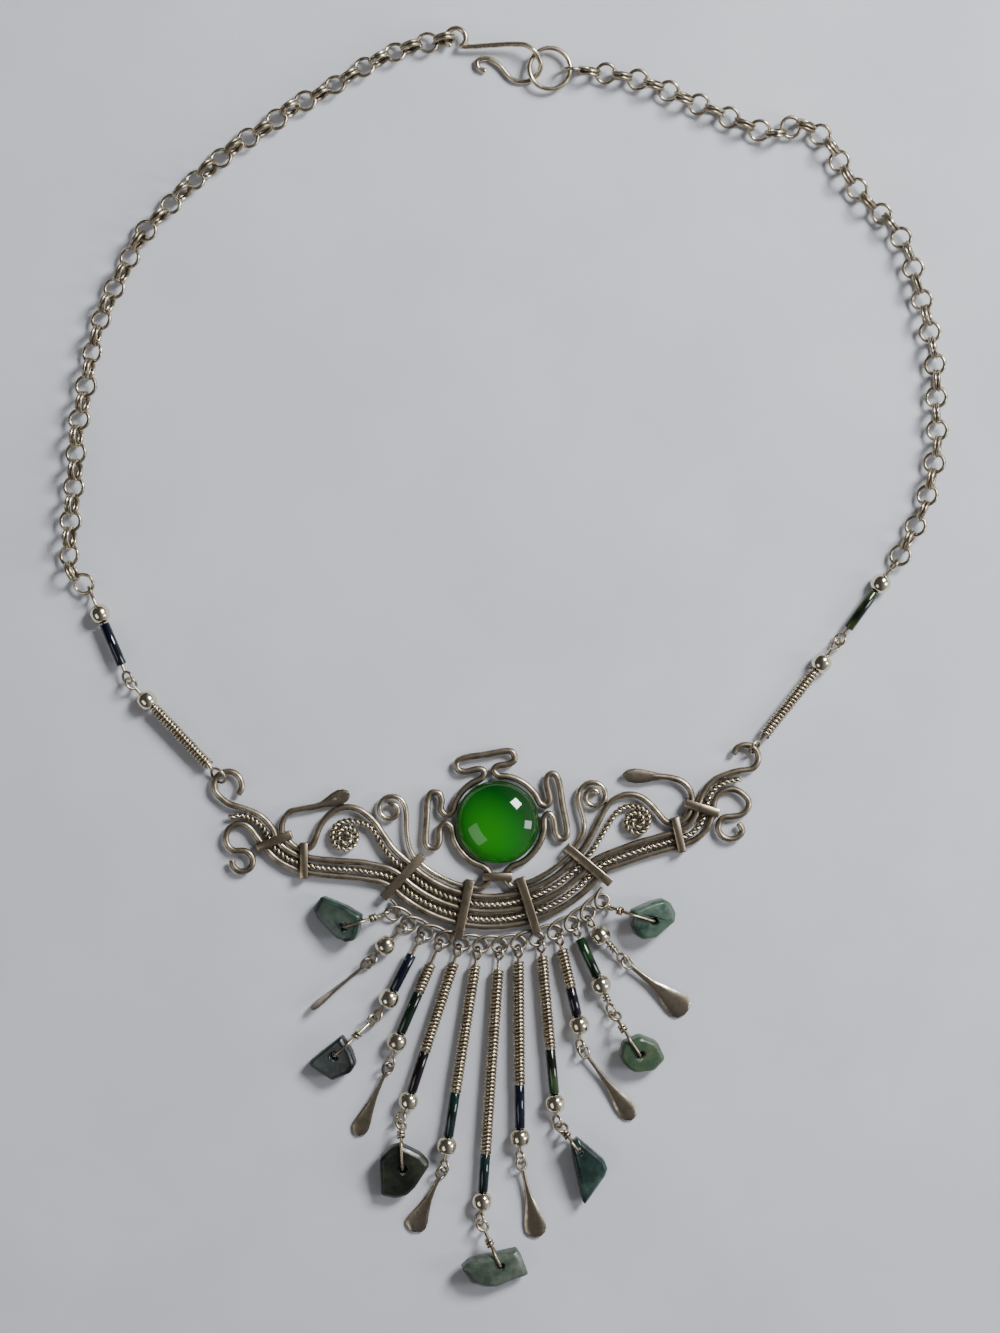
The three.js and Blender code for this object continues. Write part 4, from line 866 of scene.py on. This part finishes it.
# Clasp ------------------------------------------------------------------------------------------
HOOK = [*[[x, y, 1.9] for x, y in arc([-8.8, 116.0], 1.85, 238, -55, 9)],
        [-6.6, 114.35, 1.9], [-2.0, 114.6, 2.2], [1.8, 114.7, 2.7], [4.3, 114.4, 3.15], [6.0, 113.2, 3.15],
        [7.1, 111.0, 2.1], [6.4, 109.2, 1.2], [4.5, 108.1, 0.6], [1.9, 108.4, 0.55], [-0.9, 111.3, 0.6],
        [-3.0, 112.4, 0.6], [-4.8, 111.9, 0.6], [-4.6, 110.6, 0.6], [-3.2, 110.0, 0.6]]
build("hook", [wire(HOOK, 0.5, 10, 12)], [BRIGHT], ["clasp_hook"])
seat = Matrix.Translation((8.8, 110.3, 1.75)) @ Matrix.Rotation(math.radians(3), 4, "Y")
build("clasp", [move(ring(3.85, 0.45, 56, 12), seat)], [BRIGHT], ["clasp_ring"])


# Chain: pairs of rings side by side, with one ring between ---------------------------------------
def chain(points, count, split, names):
    """Every second ring is a standing pair; the first split rings are the lower length."""
    line = smooth([[x, y, 0] for x, y in points], 40)
    along = np.concatenate([[0], np.cumsum(np.linalg.norm(np.diff(line, axis=0), axis=1))])
    total = along[-1]
    lengths = ([], [])
    for i in range(count):
        slack = LINK_SLACK if i == split - 1 else -LINK_SLACK if i == split else 0.0
        s = total * i / (count - 1) + slack
        x, y = (np.interp(s, along, line[:, k]) for k in range(2))
        x2, y2 = (np.interp(min(s + 0.3, total), along, line[:, k]) for k in range(2))
        x1, y1 = (np.interp(max(s - 0.3, 0), along, line[:, k]) for k in range(2))
        heading = math.atan2(y2 - y1, x2 - x1)
        double = i % 2 == 1
        stands = double or i == STANDING_SINGLE
        roll = (78 if stands else -16) + random.uniform(-9, 9)
        turn = Matrix.Rotation(heading + random.uniform(-0.06, 0.06), 4, "Z")
        pose = Matrix.Translation((x, y, DOUBLE_HEIGHT if stands else SINGLE_HEIGHT)) @ turn
        pose = pose @ Matrix.Rotation(math.radians(roll), 4, "X")
        for lay in ((-LINK_WIRE, LINK_WIRE) if double else (0.0,)):
            radius = LINK_RADIUS * random.uniform(0.98, 1.02)
            link = ring(radius, LINK_WIRE, 26, 8, wobble=random.uniform(-0.03, 0.03))
            lengths[0 if i < split else 1].append(move(link, pose @ Matrix.Translation((0, 0, lay))))
    for parts, node in zip(lengths, names):
        build("rings_" + node, parts, [CHAIN], [node])


chain(LEFT_CHAIN, 44, 22, ("chain_left_lower", "chain_left_upper"))
chain(RIGHT_CHAIN, 45, 22, ("chain_right_lower", "chain_right_upper"))

# Floor, light and camera ------------------------------------------------------------------------
bpy.ops.mesh.primitive_plane_add(size=3, location=(0, 0, FLOOR_HEIGHT))
floor = bpy.context.object
floor.name = "floor"
pale, tree, shader = surface("pale_floor")
paper = ramp(tree, noise(tree, 30, 3), [(0.3, (0.56, 0.57, 0.61)), (0.7, (0.62, 0.63, 0.67))])
tree.links.new(paper, shader.inputs["Base Color"])
shader.inputs["Roughness"].default_value = 0.9
floor.data.materials.append(pale)

world = bpy.context.scene.world or bpy.data.worlds.new("studio")
bpy.context.scene.world = world
world.use_nodes = True
sky = world.node_tree
coords = sky.nodes.new("ShaderNodeTexCoord")
split = sky.nodes.new("ShaderNodeSeparateXYZ")
sky.links.new(coords.outputs["Generated"], split.inputs["Vector"])
back = next(n for n in sky.nodes if n.type == "BACKGROUND")
room = [(0.0, (0.10, 0.10, 0.11)), (0.5, (0.35, 0.35, 0.37)), (1.0, (0.8, 0.82, 0.86))]
sky.links.new(ramp(sky, split.outputs["X"], room), back.inputs["Color"])
back.inputs["Strength"].default_value = 0.6


def lamp(name, place, size, power, colour=(1, 1, 1)):
    data = bpy.data.lights.new(name, "AREA")
    data.shape = "RECTANGLE"
    data.size, data.size_y = size
    data.energy = power
    data.color = colour
    obj = bpy.data.objects.new(name, data)
    obj.location = place
    obj.rotation_euler = (-Vector(place)).to_track_quat("-Z", "Y").to_euler()
    bpy.context.scene.collection.objects.link(obj)


lamp("window", (0.40, 0.36, 0.50), (0.20, 0.26), 8.0, (0.95, 0.98, 1.0))
lamp("window_low", (0.62, -0.10, 0.34), (0.16, 0.30), 1.6, (0.97, 0.98, 1.0))
lamp("fill", (-0.5, -0.35, 0.6), (0.5, 0.4), 1.0, (1.0, 0.98, 0.95))

lens = bpy.data.cameras.new("camera")
lens.sensor_fit = "VERTICAL"
lens.angle = 2 * math.atan(HALF_VIEW / CAMERA_HEIGHT)
camera = bpy.data.objects.new("camera", lens)
camera.location = (SHIFT[0] / 1000 - 0.00056, SHIFT[1] / 1000 - 0.0018, CAMERA_HEIGHT)
bpy.context.scene.collection.objects.link(camera)
bpy.context.scene.camera = camera
